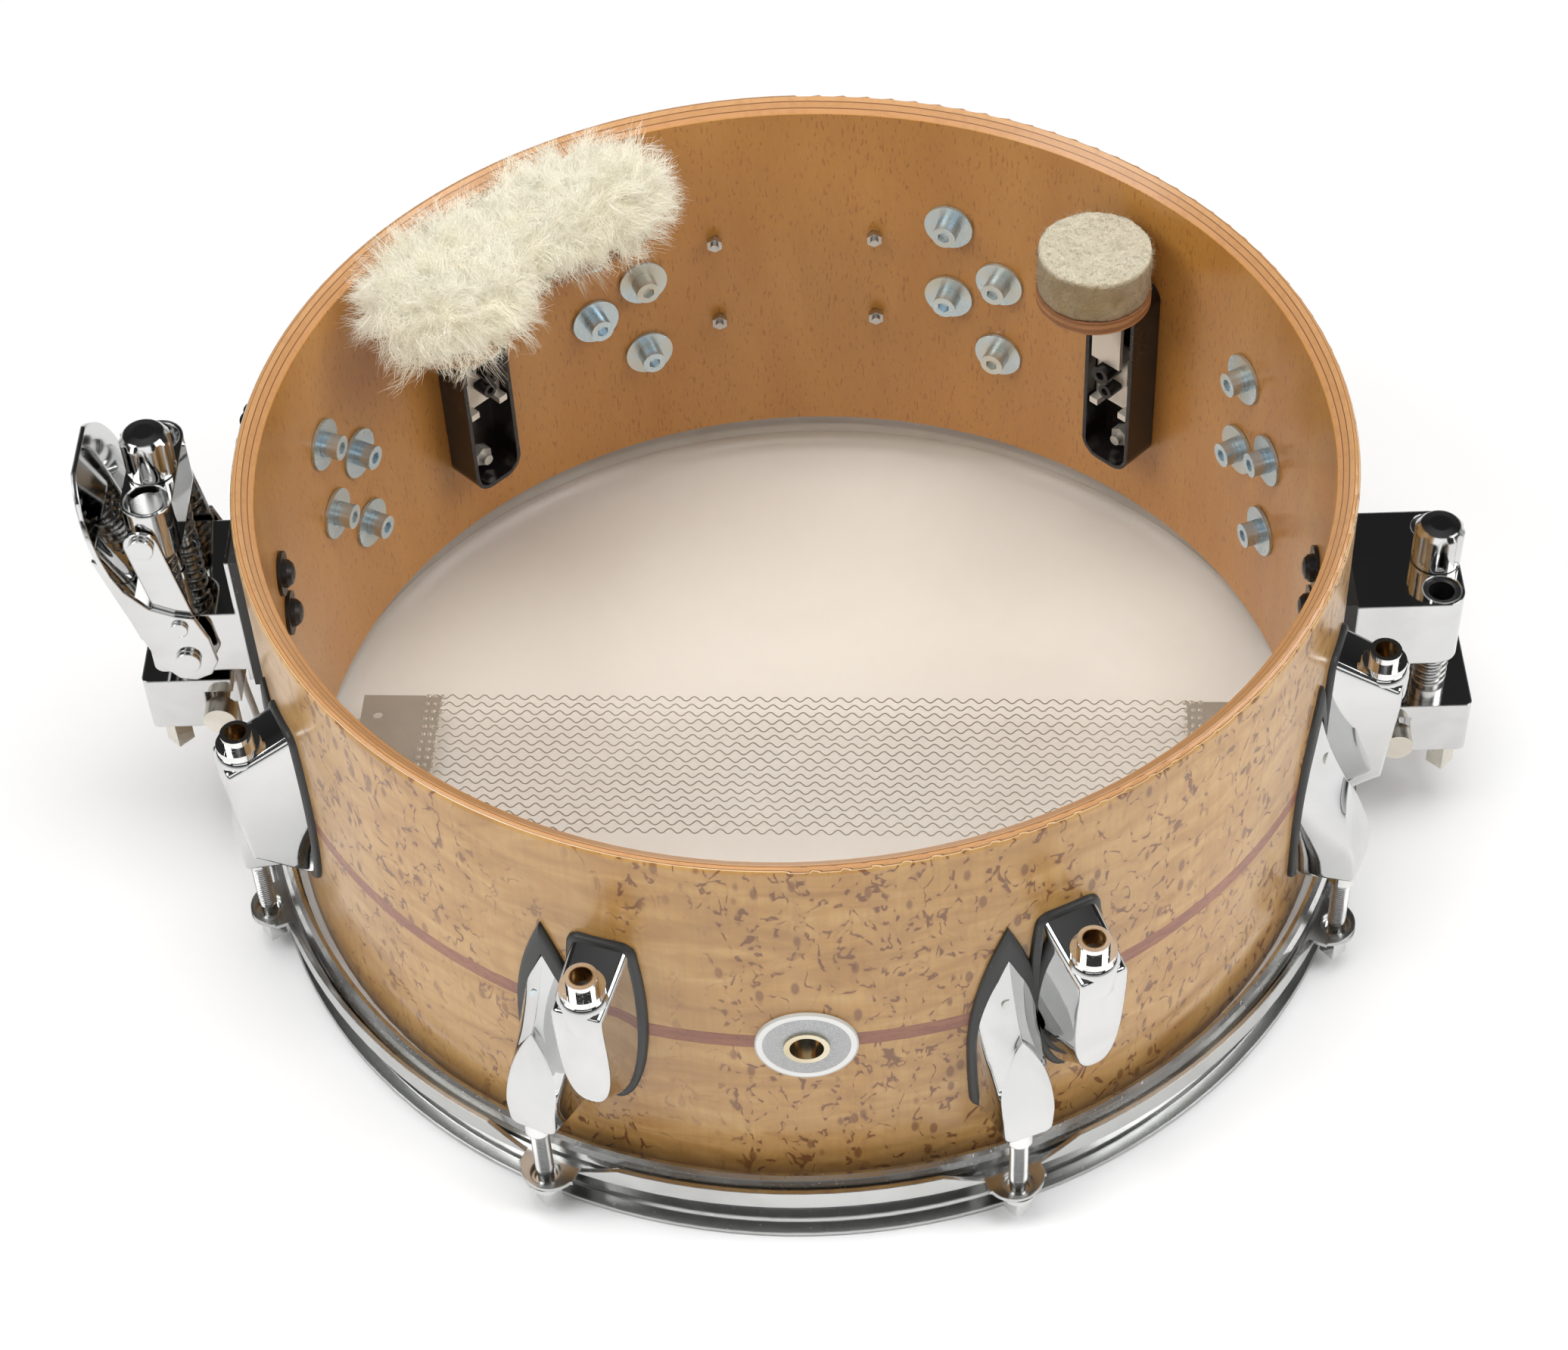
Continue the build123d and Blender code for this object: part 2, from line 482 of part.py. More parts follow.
def make_throw_off():
    """Housing, lever, links, carriage with its posts and knob, and the snare block."""
    x = THROW_X
    ways = [post(x, y, 60, 140, ROD_R + ROD_FIT) for y in (-POST_Y, POST_Y)]
    centre_way = post(x, 0, 60, 140, SPINDLE_R + 0.4)
    pin_in = POST_Y + ROD_R + 0.4
    pivot_ways = [
        rod_y(LEVER_PIVOT[0], y, y + 20, LEVER_PIVOT[1], 2.0 + ROD_FIT) for y in (-pin_in - 20, pin_in)
    ]
    core = block(-212.5, -182.3, -ANCHOR_HALF, ANCHOR_HALF, THROW_LOW, THROW_HIGH)
    core = fillet(core.edges().filter_by(Axis.Y).group_by(Axis.X)[0], 3.0)
    back = block(-182.3, -180.7, -ANCHOR_HALF, ANCHOR_HALF, 86.0, 140.0)
    taps = [around(180, rod_x(178, 190, 0, z, SCREW_R + ROD_FIT)) for z in THROW_SCREWS_Z]
    save("throw_off_housing", (core + back) - ways - centre_way - pivot_ways - taps)
    pad_ways = [around(180, rod_x(170, 190, 0, z, SCREW_HOLE_R)) for z in THROW_SCREWS_Z]
    save("throw_off_gasket", anchor_gasket(-1, 84.5, 141.5) - pad_ways)

    near = ANCHOR_HALF + 2.9
    far = near + 1.5
    cheek = [
        (-222.6, 147.0), (-217.5, 128.0), (-211.9, 108.0), (-208.8, 98.6), (-203.8, 92.5),
        (-198.5, 91.4), (-193.0, 94.0), (-190.2, 99.5), (-191.4, 110.0), (-194.8, 119.6),
        (-201.0, 121.0), (-208.5, 124.6), (-215.0, 132.6), (-220.0, 145.0),
    ]
    cheeks = plate_xz(cheek, -far, -near) + plate_xz(cheek, near, far)
    lean = [(-213.2, 111.0), (-226.6, 171.0), (-225.0, 171.4), (-211.6, 111.4)]
    web = plate_xz(lean, -far, far)
    lobe = Pos(-219, 0, 147.0) * Rot(0, 90, 0) * Cylinder(far, 40)
    below = block(-240, -200, -far, far, 100, 147.0)
    web = web & (lobe + below)
    relief = block(-216, -206, -ANCHOR_HALF - 0.6, ANCHOR_HALF + 0.6, 108, 123)
    save("throw_off_lever", (cheeks + web) - relief - pivot_ways)
    pins = []
    for side in (-1, 1):
        stub = rod_y(LEVER_PIVOT[0], *toward(side, pin_in + 0.1, far), LEVER_PIVOT[1], 2.0)
        head = rod_y(LEVER_PIVOT[0], *toward(side, far, far + 1.9), LEVER_PIVOT[1], 4.2)
        rivet = rod_y(THROW_RIVET[0], *toward(side, far, far + 1.2), THROW_RIVET[1], 2.9)
        pins += [stub + head, rivet]
    save("throw_off_lever_pins", *pins)

    links = []
    for y0 in (-near + 0.2, near - 1.4):
        links.append(rounded_bar(THROW_PIN, THROW_RIVET, 5.6, y0, y0 + 1.2))
    save("throw_off_links", *[
        link - rod_y(THROW_PIN[0], -40, 40, THROW_PIN[1], 2.0 + ROD_FIT) for link in links
    ])

    slab = block(x - 8.2, x + 8.2, -POST_Y, POST_Y, CARRIAGE_LOW, CARRIAGE_TOP)
    ends = [post(x, y, CARRIAGE_LOW, CARRIAGE_TOP, 8.2) for y in (-POST_Y, POST_Y)]
    cups = [post(x, y, CARRIAGE_TOP - 9, CARRIAGE_TOP + 1, 6.9) for y in (-POST_Y, POST_Y)]
    runs = [post(x, y, 130, 170, ROD_R + ROD_FIT) for y in (-POST_Y, POST_Y)]
    spindle_way = post(x, 0, 130, 170, SPINDLE_R + ROD_FIT)
    pin = [rod_y(THROW_PIN[0], y, y + 6, THROW_PIN[1], 2.0) for y in (-near - 1.2, near - 4.8)]
    carriage = (slab + ends[0] + ends[1]) - cups - runs - spindle_way
    carriage = carriage + pin[0] + pin[1]
    buttons = [rod_y(THROW_PIN[0], y, y + 1.8, THROW_PIN[1], 4.1) for y in (-near - 1.65, near - 0.15)]
    save("throw_off_carriage", carriage + buttons[0] + buttons[1])
    posts = [
        post(x, y, 66.5, CARRIAGE_TOP - 4, ROD_R) + post(x, y, CARRIAGE_TOP - 5.5, CARRIAGE_TOP - 1.5, 5.0)
        for y in (-POST_Y, POST_Y)
    ]
    save("throw_off_guide_posts", *posts)
    save("throw_off_springs", *[
        spring(x, y, THROW_HIGH + 0.8, CARRIAGE_LOW - 0.8, 4.7, 0.6, 6) for y in (-POST_Y, POST_Y)
    ])
    spindle = post(x, 0, 70.0, CARRIAGE_TOP + 1, SPINDLE_R)
    save("throw_off_knob", knob(x, CARRIAGE_TOP + 0.4) + spindle)
    save_snare_block("throw_off", -1, x, ROD_R + 0.01, THROW_BLOCK_LOW, THROW_BLOCK_HIGH)


def save_snare_block(name, sign, x, post_radius, low, high):
    """Block that pulls the snare cords, with its two kinds of clamp screw, on side sign of X."""
    front = -sign
    inner = abs(x) - BLOCK_IN
    outer = abs(x) + BLOCK_OUT
    clamp_x = inner - 4.6
    clamp_z = low + 9.0
    body = block(inner, outer, -ANCHOR_HALF, ANCHOR_HALF, low, high)
    body = fillet(body.edges().filter_by(Axis.Z).group_by(Axis.X)[-1], 2.5)
    shelf = block(inner - 9.5, inner + 1, *toward(front, 13, ANCHOR_HALF), high - 5.5, high)
    flange = block(inner - 9.5, inner + 1, *toward(front, -ANCHOR_HALF, 14), low + 3, high)
    seats = [post(abs(x), y, low + 2, high + 5, post_radius) for y in (-POST_Y, POST_Y)]
    thread = post(abs(x), 0, low - 5, high + 5, SPINDLE_R + ROD_FIT)
    tail_way = post(outer - 6, front * 13, low - 5, low + 12, 2.5)
    clamp_way = rod_y(clamp_x, *toward(front, 4.5, 20), clamp_z, 2.25)
    cord_ways = [post(abs(x) - CORD_IN, sign * y, low - 5, high + 5, CORD_R + 0.45) for y in CORD_ENDS]
    solid = (body + shelf + flange) - seats - thread - tail_way - clamp_way - cord_ways
    turn = 0 if sign > 0 else 180
    save(f"{name}_snare_block", around(turn, solid))
    tail = post(outer - 6, front * 13, low - 2.5, low + 12, 2.45)
    square = Pos(outer - 6, front * 13, low - 9) * Rot(0, 0, 45) * Box(6.4, 6.4, 12.8)
    grip = rod_y(clamp_x, *toward(front, 22.1, 28.6), clamp_z, 5.4)
    stem = rod_y(clamp_x, *toward(front, 5.0, 22.2), clamp_z, 2.2)
    save(f"{name}_clamp_screws", around(turn, tail + square), around(turn, grip + stem))


# --- Butt end ----------------------------------------------------------------------------
def make_butt():
    """Housing, bushes, posts, springs, knob and snare block of the butt end."""
    x = BUTT_X
    core = block(180.8, 216.4, -ANCHOR_HALF, ANCHOR_HALF, BUTT_LOW, BUTT_HIGH)
    core = fillet(core.edges().filter_by(Axis.Z).group_by(Axis.X)[-1], 7.0)
    sockets = [post(x, y, BUTT_LOW - 1, BUTT_HIGH + 1, 6.1) for y in (-POST_Y, POST_Y)]
    centre_way = post(x, 0, 60, 130, SPINDLE_R + ROD_FIT)
    taps = [rod_x(175, 192, 0, z, SCREW_R + ROD_FIT) for z in BUTT_SCREWS_Z]
    save("butt_housing", core - sockets - centre_way - taps)
    pad_ways = [rod_x(170, 190, 0, z, SCREW_HOLE_R) for z in BUTT_SCREWS_Z]
    save("butt_gasket", anchor_gasket(1, BUTT_LOW - 2.5, BUTT_HIGH + 2.5) - pad_ways)
    bush = pipe(0, 0, BUTT_LOW + 0.1, BUTT_HIGH - 0.8, 6.05, BUTT_POST_R + ROD_FIT)
    save("butt_bushes", *[Pos(x, y, 0) * bush for y in (-POST_Y, POST_Y)])
    low = BUTT_BLOCK_LOW
    high = BUTT_BLOCK_HIGH
    posts = [
        post(x, y, low + 2.2, BUTT_HIGH - 10, BUTT_POST_R) + post(x, y, high + 0.1, high + 5, 5.6)
        for y in (-POST_Y, POST_Y)
    ]
    save("butt_guide_posts", *posts)
    save("butt_springs", *[
        spring(x, y, high + 5.8, BUTT_LOW - 0.8, 5.1, 0.5, 5) for y in (-POST_Y, POST_Y)
    ])
    spindle = post(x, 0, low + 4, BUTT_HIGH + 1, SPINDLE_R)
    save("butt_knob", knob(x, BUTT_HIGH + 0.4) + spindle)
    save_snare_block("butt", 1, x, BUTT_POST_R + 0.01, low, high)
    screws = [mount_screw(-1, z, 16) for z in THROW_SCREWS_Z]
    screws += [mount_screw(1, z, 16) for z in BUTT_SCREWS_Z]
    save("anchor_screws", *screws)


# --- Snare wires -------------------------------------------------------------------------
def make_snares():
    """Strands, end plates and cords, all turned together to the wires' line."""
    place = Pos(0, SNARE_SHIFT, 0) * Rot(0, 0, SNARE_SKEW)
    first = -(STRANDS - 1) / 2 * STRAND_PITCH
    strands = [
        place * rod_x(-STRAND_HALF, STRAND_HALF, first + k * STRAND_PITCH, SNARE_Z, STRAND_R)
        for k in range(STRANDS)
    ]
    save("snare_strands", *strands)
    plates = []
    cords = []
    for sign in (-1, 1):
        sheet = block(PLATE_IN, PLATE_OUT, -32.5, 32.5, SNARE_Z - STRAND_R - 1.1, SNARE_Z - STRAND_R - 0.1)
        eyes = [post(155, y, 5, 20, 1.8) for y in (-23, 23)]
        plates.append(place * Rot(0, 0, 0 if sign > 0 else 180) * (sheet - eyes))
    save("snare_end_plates", *plates)
    for sign, x, top in ((-1, abs(THROW_X), 70.0), (1, BUTT_X, 42.0)):
        for y, end_y in zip((-23, 23), CORD_ENDS):
            start = (place * Pos(sign * 157.5, y, SNARE_Z - STRAND_R - 2.6)).position
            gate = Vector(sign * 193.0, start.Y * 0.3 + end_y * 0.7, 9.4)
            rise = Vector(sign * (x - CORD_IN), end_y, top - 26)
            end = Vector(sign * (x - CORD_IN), end_y, top)
            path = FilletPolyline(start, gate, rise, end, radius=4.0)
            section = Plane(origin=start, z_dir=gate - start) * Circle(CORD_R)
            cords.append(sweep(section, path))
    save("snare_cords", *cords)


# --- Dampers -----------------------------------------------------------------------------
def make_rails():
    """Channel rails on the inner wall and the bolts that hold them."""
    rails = []
    bolts = []
    tall = RAIL_HIGH - RAIL_LOW
    middle = (RAIL_HIGH + RAIL_LOW) / 2
    outline = extrude(RectangleRounded(tall, 2 * RAIL_HALF, 7.5), RAIL_BACK - RAIL_FRONT)
    hollow = extrude(RectangleRounded(tall - 3.2, 2 * RAIL_HALF - 3.2, 5.9), RAIL_BACK - RAIL_FRONT)
    channel = Pos(RAIL_FRONT, 0, middle) * Rot(0, 90, 0) * outline
    channel = channel - Pos(RAIL_FRONT - 1.8, 0, middle) * Rot(0, 90, 0) * hollow
    for azimuth in (FELT_AZIMUTH, FLEECE_AZIMUTH):
        ways = [rod_x(160, 175, 0, z, 2.1) for z in RAIL_BOLTS_Z]
        rails.append(around(azimuth, channel - ways))
        for z in RAIL_BOLTS_Z:
            shank = rod_x(161.5, 178.0, 0, z, 2.0)
            head = rod_x(178.0, 180.0, 0, z, 4.2)
            nut = Pos(166.0, 0, z) * Rot(0, 90, 0) * extrude(RegularPolygon(4.0, 6), 1.9, both=True)
            bolts.append(around(azimuth, shank + head + nut))
    save("damper_rails", *rails)
    save("damper_rail_bolts", *bolts)


def damper_slide(low):
    """Sliding plate with two bent tabs, held in the rail, on the +X side."""
    plate = block(160.6, 162.0, -8.7, 8.7, low, low + SLIDE_TALL)
    tabs = [block(156.6, 160.8, y - 1.8, y + 1.8, low - 1.4, low) for y in (-6.6, 6.6)]
    lips = [block(156.6, 162.0, y - 1.8, y + 1.8, low - 1.4, low + 1.2) for y in (-6.6, 6.6)]
    return plate + tabs[0] + tabs[1] + lips[0] + lips[1]


def damper_bracket(low, reach):
    """Angle that stands on the slide and carries the plywood plate on its top leg."""
    top = low + PLATE_RISE
    step = low + 25.0
    foot = block(158.9, 160.5, -6.4, 6.4, low + 13, step)
    web = block(154.2, 160.5, -6.4, 6.4, step - 1.6, step)
    leg = block(154.2, 155.8, -6.4, 6.4, step - 1.6, top)
    shelf = block(155.8 - reach, 155.8, -6.4, 6.4, top - 1.6, top)
    return foot + web + leg + shelf


def damper_screws(low):
    """Black set screw with its socket, and a small button screw below it."""
    grub = rod_x(151.5, 160.5, 0, low + 19, 3.6) - rod_x(150, 154, 0, low + 19, 1.6)
    button = rod_x(154.5, 160.5, 0, low + 9.5, 2.9) - rod_x(153, 156.5, 0, low + 9.5, 1.4)
    return grub, button


def fleece_outline(grow):
    """Bean-shaped face of the fleece plate, at z = 0, grown by an overhang."""
    inner = 124.0 - grow
    outer = 163.0 + grow * 0.8
    turn = grow / 2.6
    points = [
        (inner + 9, 150.5 + turn), (inner, 144.0), (inner + 4, 137.0), (inner + 9, 128.5),
        (inner + 9.5, 118.0), (inner + 15, 111.5 - turn), (outer - 12, 109.8 - turn),
        (outer - 1, 115.0 - turn * 0.4), (outer, 130.0), (outer - 0.5, 144.0),
        (outer - 7, 150.8 + turn), (inner + 21, 152.6 + turn),
    ]
    spots = [(r * cos(radians(a)), r * sin(radians(a))) for r, a in points]
    return make_face(Spline(*spots, periodic=True))


def make_dampers():
    """Felt and fleece dampers, each a slide, bracket, plate, pad and screws."""
    make_rails()
    for name, azimuth, low, reach in (
        ("felt", FELT_AZIMUTH, FELT_SLIDE_LOW, 20.0),
        ("fleece", FLEECE_AZIMUTH, FLEECE_SLIDE_LOW, 23.0),
    ):
        screw_ways = [rod_x(140, 170, 0, low + 19, 3.65), rod_x(140, 170, 0, low + 9.5, 2.95)]
        save(f"{name}_slide", around(azimuth, damper_slide(low)))
        save(f"{name}_bracket", around(azimuth, damper_bracket(low, reach) - screw_ways))
        grub, button = damper_screws(low)
        save(f"{name}_screws", around(azimuth, grub), around(azimuth, button))
    top = FELT_SLIDE_LOW + PLATE_RISE
    save("felt_plate", around(FELT_AZIMUTH, post(FELT_CIRCLE, 0, top + 0.05, top + PLY, FELT_R + 0.3)))
    pad = post(FELT_CIRCLE, 0, top + PLY + 0.05, top + PLY + FELT_THICK, FELT_R)
    save("felt_pad", around(FELT_AZIMUTH, pad))
    top = FLEECE_SLIDE_LOW + PLATE_RISE
    save("fleece_plate", Pos(0, 0, top + 0.05) * extrude(fleece_outline(0), PLY - 0.05))
    save("fleece_pad", Pos(0, 0, top + PLY + 0.1) * extrude(fleece_outline(4.0), 19.0))


make_shell()
make_vent()
make_nameplate()
make_snare_head()
make_hoop()
make_rods()
make_lugs()
make_throw_off()
make_butt()
make_snares()
make_dampers()
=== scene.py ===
"""A wooden snare drum without its top head, on a plain pale studio floor."""

import logging
import math
from dataclasses import dataclass, field
from enum import Enum
from typing import Callable, Iterable, Sequence, Union

import bmesh
import bpy
import numpy as np
from mathutils import Matrix, Vector, noise


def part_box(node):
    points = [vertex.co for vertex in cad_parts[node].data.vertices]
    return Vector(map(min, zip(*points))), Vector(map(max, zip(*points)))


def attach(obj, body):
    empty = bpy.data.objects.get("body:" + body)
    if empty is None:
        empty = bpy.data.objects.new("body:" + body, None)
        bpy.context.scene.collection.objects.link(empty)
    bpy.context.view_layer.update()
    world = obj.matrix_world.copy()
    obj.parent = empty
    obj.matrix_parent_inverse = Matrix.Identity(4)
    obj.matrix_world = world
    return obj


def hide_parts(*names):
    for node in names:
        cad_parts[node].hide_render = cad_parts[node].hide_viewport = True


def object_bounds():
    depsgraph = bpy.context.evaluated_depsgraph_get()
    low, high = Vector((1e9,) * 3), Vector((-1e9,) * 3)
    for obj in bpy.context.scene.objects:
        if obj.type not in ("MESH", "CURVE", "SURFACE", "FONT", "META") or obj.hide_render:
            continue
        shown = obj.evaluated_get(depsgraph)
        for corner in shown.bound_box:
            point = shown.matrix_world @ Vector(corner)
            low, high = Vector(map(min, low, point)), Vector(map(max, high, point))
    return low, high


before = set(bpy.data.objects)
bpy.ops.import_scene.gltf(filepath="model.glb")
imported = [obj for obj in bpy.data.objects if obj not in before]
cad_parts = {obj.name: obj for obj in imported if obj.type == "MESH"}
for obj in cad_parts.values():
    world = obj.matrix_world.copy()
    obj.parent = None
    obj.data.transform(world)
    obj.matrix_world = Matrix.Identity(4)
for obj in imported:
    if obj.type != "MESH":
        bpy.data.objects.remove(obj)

CAD_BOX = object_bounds()
LOG = logging.getLogger("snare_drum")
Socket = bpy.types.NodeSocket
Feed = Union[Socket, float, Sequence[float]]
Color = tuple[float, float, float]
MeshData = tuple[np.ndarray, list[tuple[int, ...]]]


class Body(str, Enum):
    """Bodies that made pieces ride on."""

    DRUM = "drum"
    FELT = "felt_damper"
    FLEECE = "fleece_damper"


class Slot(str, Enum):
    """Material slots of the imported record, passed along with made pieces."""

    WIRE = "snare_steel"
    CHROME = "chrome_steel"
    RUBBER = "rubber_black"
    FELT = "felt_wool"
    WOOL = "sheepskin"


# --- Shader building ---------------------------------------------------------------------
class Tree:
    """Adds and joins nodes in one shader tree."""

    def __init__(self, tree: bpy.types.NodeTree) -> None:
        """Keep the tree.

        Args:
            tree: The material's or the group's node tree.
        """
        self.tree = tree

    def add(self, kind: str, **settings: object) -> bpy.types.Node:
        """Add a node.

        Args:
            kind: The node's type name without its ShaderNode prefix.
            settings: Properties to set on the node.

        Returns:
            The new node.
        """
        node = self.tree.nodes.new("ShaderNode" + kind)
        for key, value in settings.items():
            setattr(node, key, value)
        return node

    def feed(self, target: Socket, value: Feed) -> None:
        """Link a socket to an input, or set a plain value on it.

        Args:
            target: The input socket.
            value: An output socket, a number or a tuple.
        """
        if isinstance(value, bpy.types.NodeSocket):
            self.tree.links.new(value, target)
        elif isinstance(value, (int, float)):
            target.default_value = value
        elif target.type == "RGBA":
            target.default_value = (*value[:3], 1.0)
        else:
            target.default_value = tuple(value)

    def math(self, operation: str, first: Feed, second: Feed = 0.0, clamp: bool = False) -> Socket:
        """Add a math node.

        Args:
            operation: The node's operation.
            first: The first value.
            second: The second value.
            clamp: Whether the result stays between 0 and 1.

        Returns:
            The result socket.
        """
        node = self.add("Math", operation=operation, use_clamp=clamp)
        self.feed(node.inputs[0], first)
        self.feed(node.inputs[1], second)
        return node.outputs[0]

    def mul(self, first: Feed, second: Feed) -> Socket:
        """Multiply two values."""
        return self.math("MULTIPLY", first, second)

    def plus(self, first: Feed, second: Feed) -> Socket:
        """Add two values."""
        return self.math("ADD", first, second)

    def minus(self, first: Feed, second: Feed) -> Socket:
        """Subtract the second value from the first."""
        return self.math("SUBTRACT", first, second)

    def scaled(self, value: Feed, factor: float, offset: float) -> Socket:
        """Multiply a value by a factor and add an offset."""
        result = self.math("MULTIPLY_ADD", value, factor)
        result.node.inputs[2].default_value = offset
        return result

    def mix(self, amount: Feed, first: Feed, second: Feed, blend: str = "MIX") -> Socket:
        """Mix two colours.

        Args:
            amount: How much of the second colour shows.
            first: The first colour.
            second: The second colour.
            blend: The blend type.

        Returns:
            The colour socket.
        """
        node = self.add("Mix", data_type="RGBA", blend_type=blend)
        self.feed(node.inputs["Factor"], amount)
        self.feed(node.inputs[6], first)
        self.feed(node.inputs[7], second)
        return node.outputs[2]

    def span(
        self, value: Feed, low: float, high: float, to_low: float = 0.0, to_high: float = 1.0
    ) -> Socket:
        """Map a range of values to another with a smooth ramp.

        Args:
            value: The value.
            low: Where the ramp starts.
            high: Where the ramp ends.
            to_low: The result at low.
            to_high: The result at high.

        Returns:
            The mapped value socket.
        """
        node = self.add("MapRange", interpolation_type="SMOOTHSTEP")
        for socket, number in zip(node.inputs, (value, low, high, to_low, to_high)):
            self.feed(socket, number)
        return node.outputs[0]

    def noise(self, vector: Feed, scale: Feed, detail: float = 3.0, twist: float = 0.0) -> Socket:
        """Add a noise texture.

        Args:
            vector: The coordinates.
            scale: Features per metre.
            detail: Octaves.
            twist: Distortion.

        Returns:
            The noise value socket.
        """
        node = self.add("TexNoise")
        self.feed(node.inputs["Vector"], vector)
        self.feed(node.inputs["Scale"], scale)
        node.inputs["Detail"].default_value = detail
        node.inputs["Distortion"].default_value = twist
        return node.outputs["Fac"]

    def stretch(self, vector: Feed, scale: Feed) -> Socket:
        """Scale coordinates by a vector.

        Args:
            vector: The coordinates.
            scale: The factor for each axis.

        Returns:
            The scaled vector socket.
        """
        node = self.add("VectorMath", operation="MULTIPLY")
        self.feed(node.inputs[0], vector)
        self.feed(node.inputs[1], scale)
        return node.outputs[0]

    def ramp(self, amount: Feed, stops: Iterable[tuple[float, Color]], hard: bool = False) -> Socket:
        """Add a colour ramp.

        Args:
            amount: The value between 0 and 1.
            stops: Positions with their colours.
            hard: Whether the colours change in steps.

        Returns:
            The colour socket.
        """
        node = self.add("ValToRGB")
        ramp = node.color_ramp
        ramp.interpolation = "CONSTANT" if hard else "LINEAR"
        points = list(stops)
        while len(ramp.elements) < len(points):
            ramp.elements.new(0.5)
        for element, (place, color) in zip(ramp.elements, points):
            element.position = place
            element.color = (*color, 1.0)
        self.feed(node.inputs[0], amount)
        return node.outputs[0]

    def coords(self) -> Socket:
        """Coordinates that stay with the piece, in metres."""
        return self.add("TexCoord").outputs["Object"]

    def axes(self, vector: Feed) -> tuple[Socket, Socket, Socket]:
        """Split a vector into its three numbers."""
        node = self.add("SeparateXYZ")
        self.feed(node.inputs[0], vector)
        return node.outputs[0], node.outputs[1], node.outputs[2]

    def radius(self, vector: Feed) -> Socket:
        """Distance from the drum's axis, in metres."""
        x, y, _ = self.axes(vector)
        return self.math(
            "SQRT", self.math("ADD", self.math("MULTIPLY", x, x), self.math("MULTIPLY", y, y))
        )

    def group(self, group: bpy.types.NodeTree, **values: Feed) -> bpy.types.Node:
        """Place a shared effect with its own values.

        Args:
            group: The node group.
            values: Inputs by name.

        Returns:
            The group node.
        """
        node = self.add("Group")
        node.node_tree = group
        for key, value in values.items():
            self.feed(node.inputs[key], value)
        return node

    def bump(self, height: Feed, distance: float, strength: float = 1.0) -> Socket:
        """Turn a height into a normal.

        Args:
            height: The height value.
            distance: The height of a full step, in metres.
            strength: How much of it shows.

        Returns:
            The normal socket.
        """
        node = self.add("Bump")
        node.inputs["Strength"].default_value = strength
        node.inputs["Distance"].default_value = distance
        self.feed(node.inputs["Height"], height)
        return node.outputs[0]


def new_group(
    name: str, inputs: dict[str, tuple[str, object]], outputs: dict[str, str]
) -> tuple[Tree, bpy.types.Node, bpy.types.Node]:
    """Start a shader node group.

    Args:
        name: The group's name.
        inputs: Socket kinds and defaults by name.
        outputs: Socket kinds by name.

    Returns:
        The group's tree, its input node and its output node.
    """
    tree = bpy.data.node_groups.new(name, "ShaderNodeTree")
    for key, (kind, value) in inputs.items():
        socket = tree.interface.new_socket(key, in_out="INPUT", socket_type="NodeSocket" + kind)
        if value is not None:
            socket.default_value = value
    for key, kind in outputs.items():
        tree.interface.new_socket(key, in_out="OUTPUT", socket_type="NodeSocket" + kind)
    return Tree(tree), tree.nodes.new("NodeGroupInput"), tree.nodes.new("NodeGroupOutput")


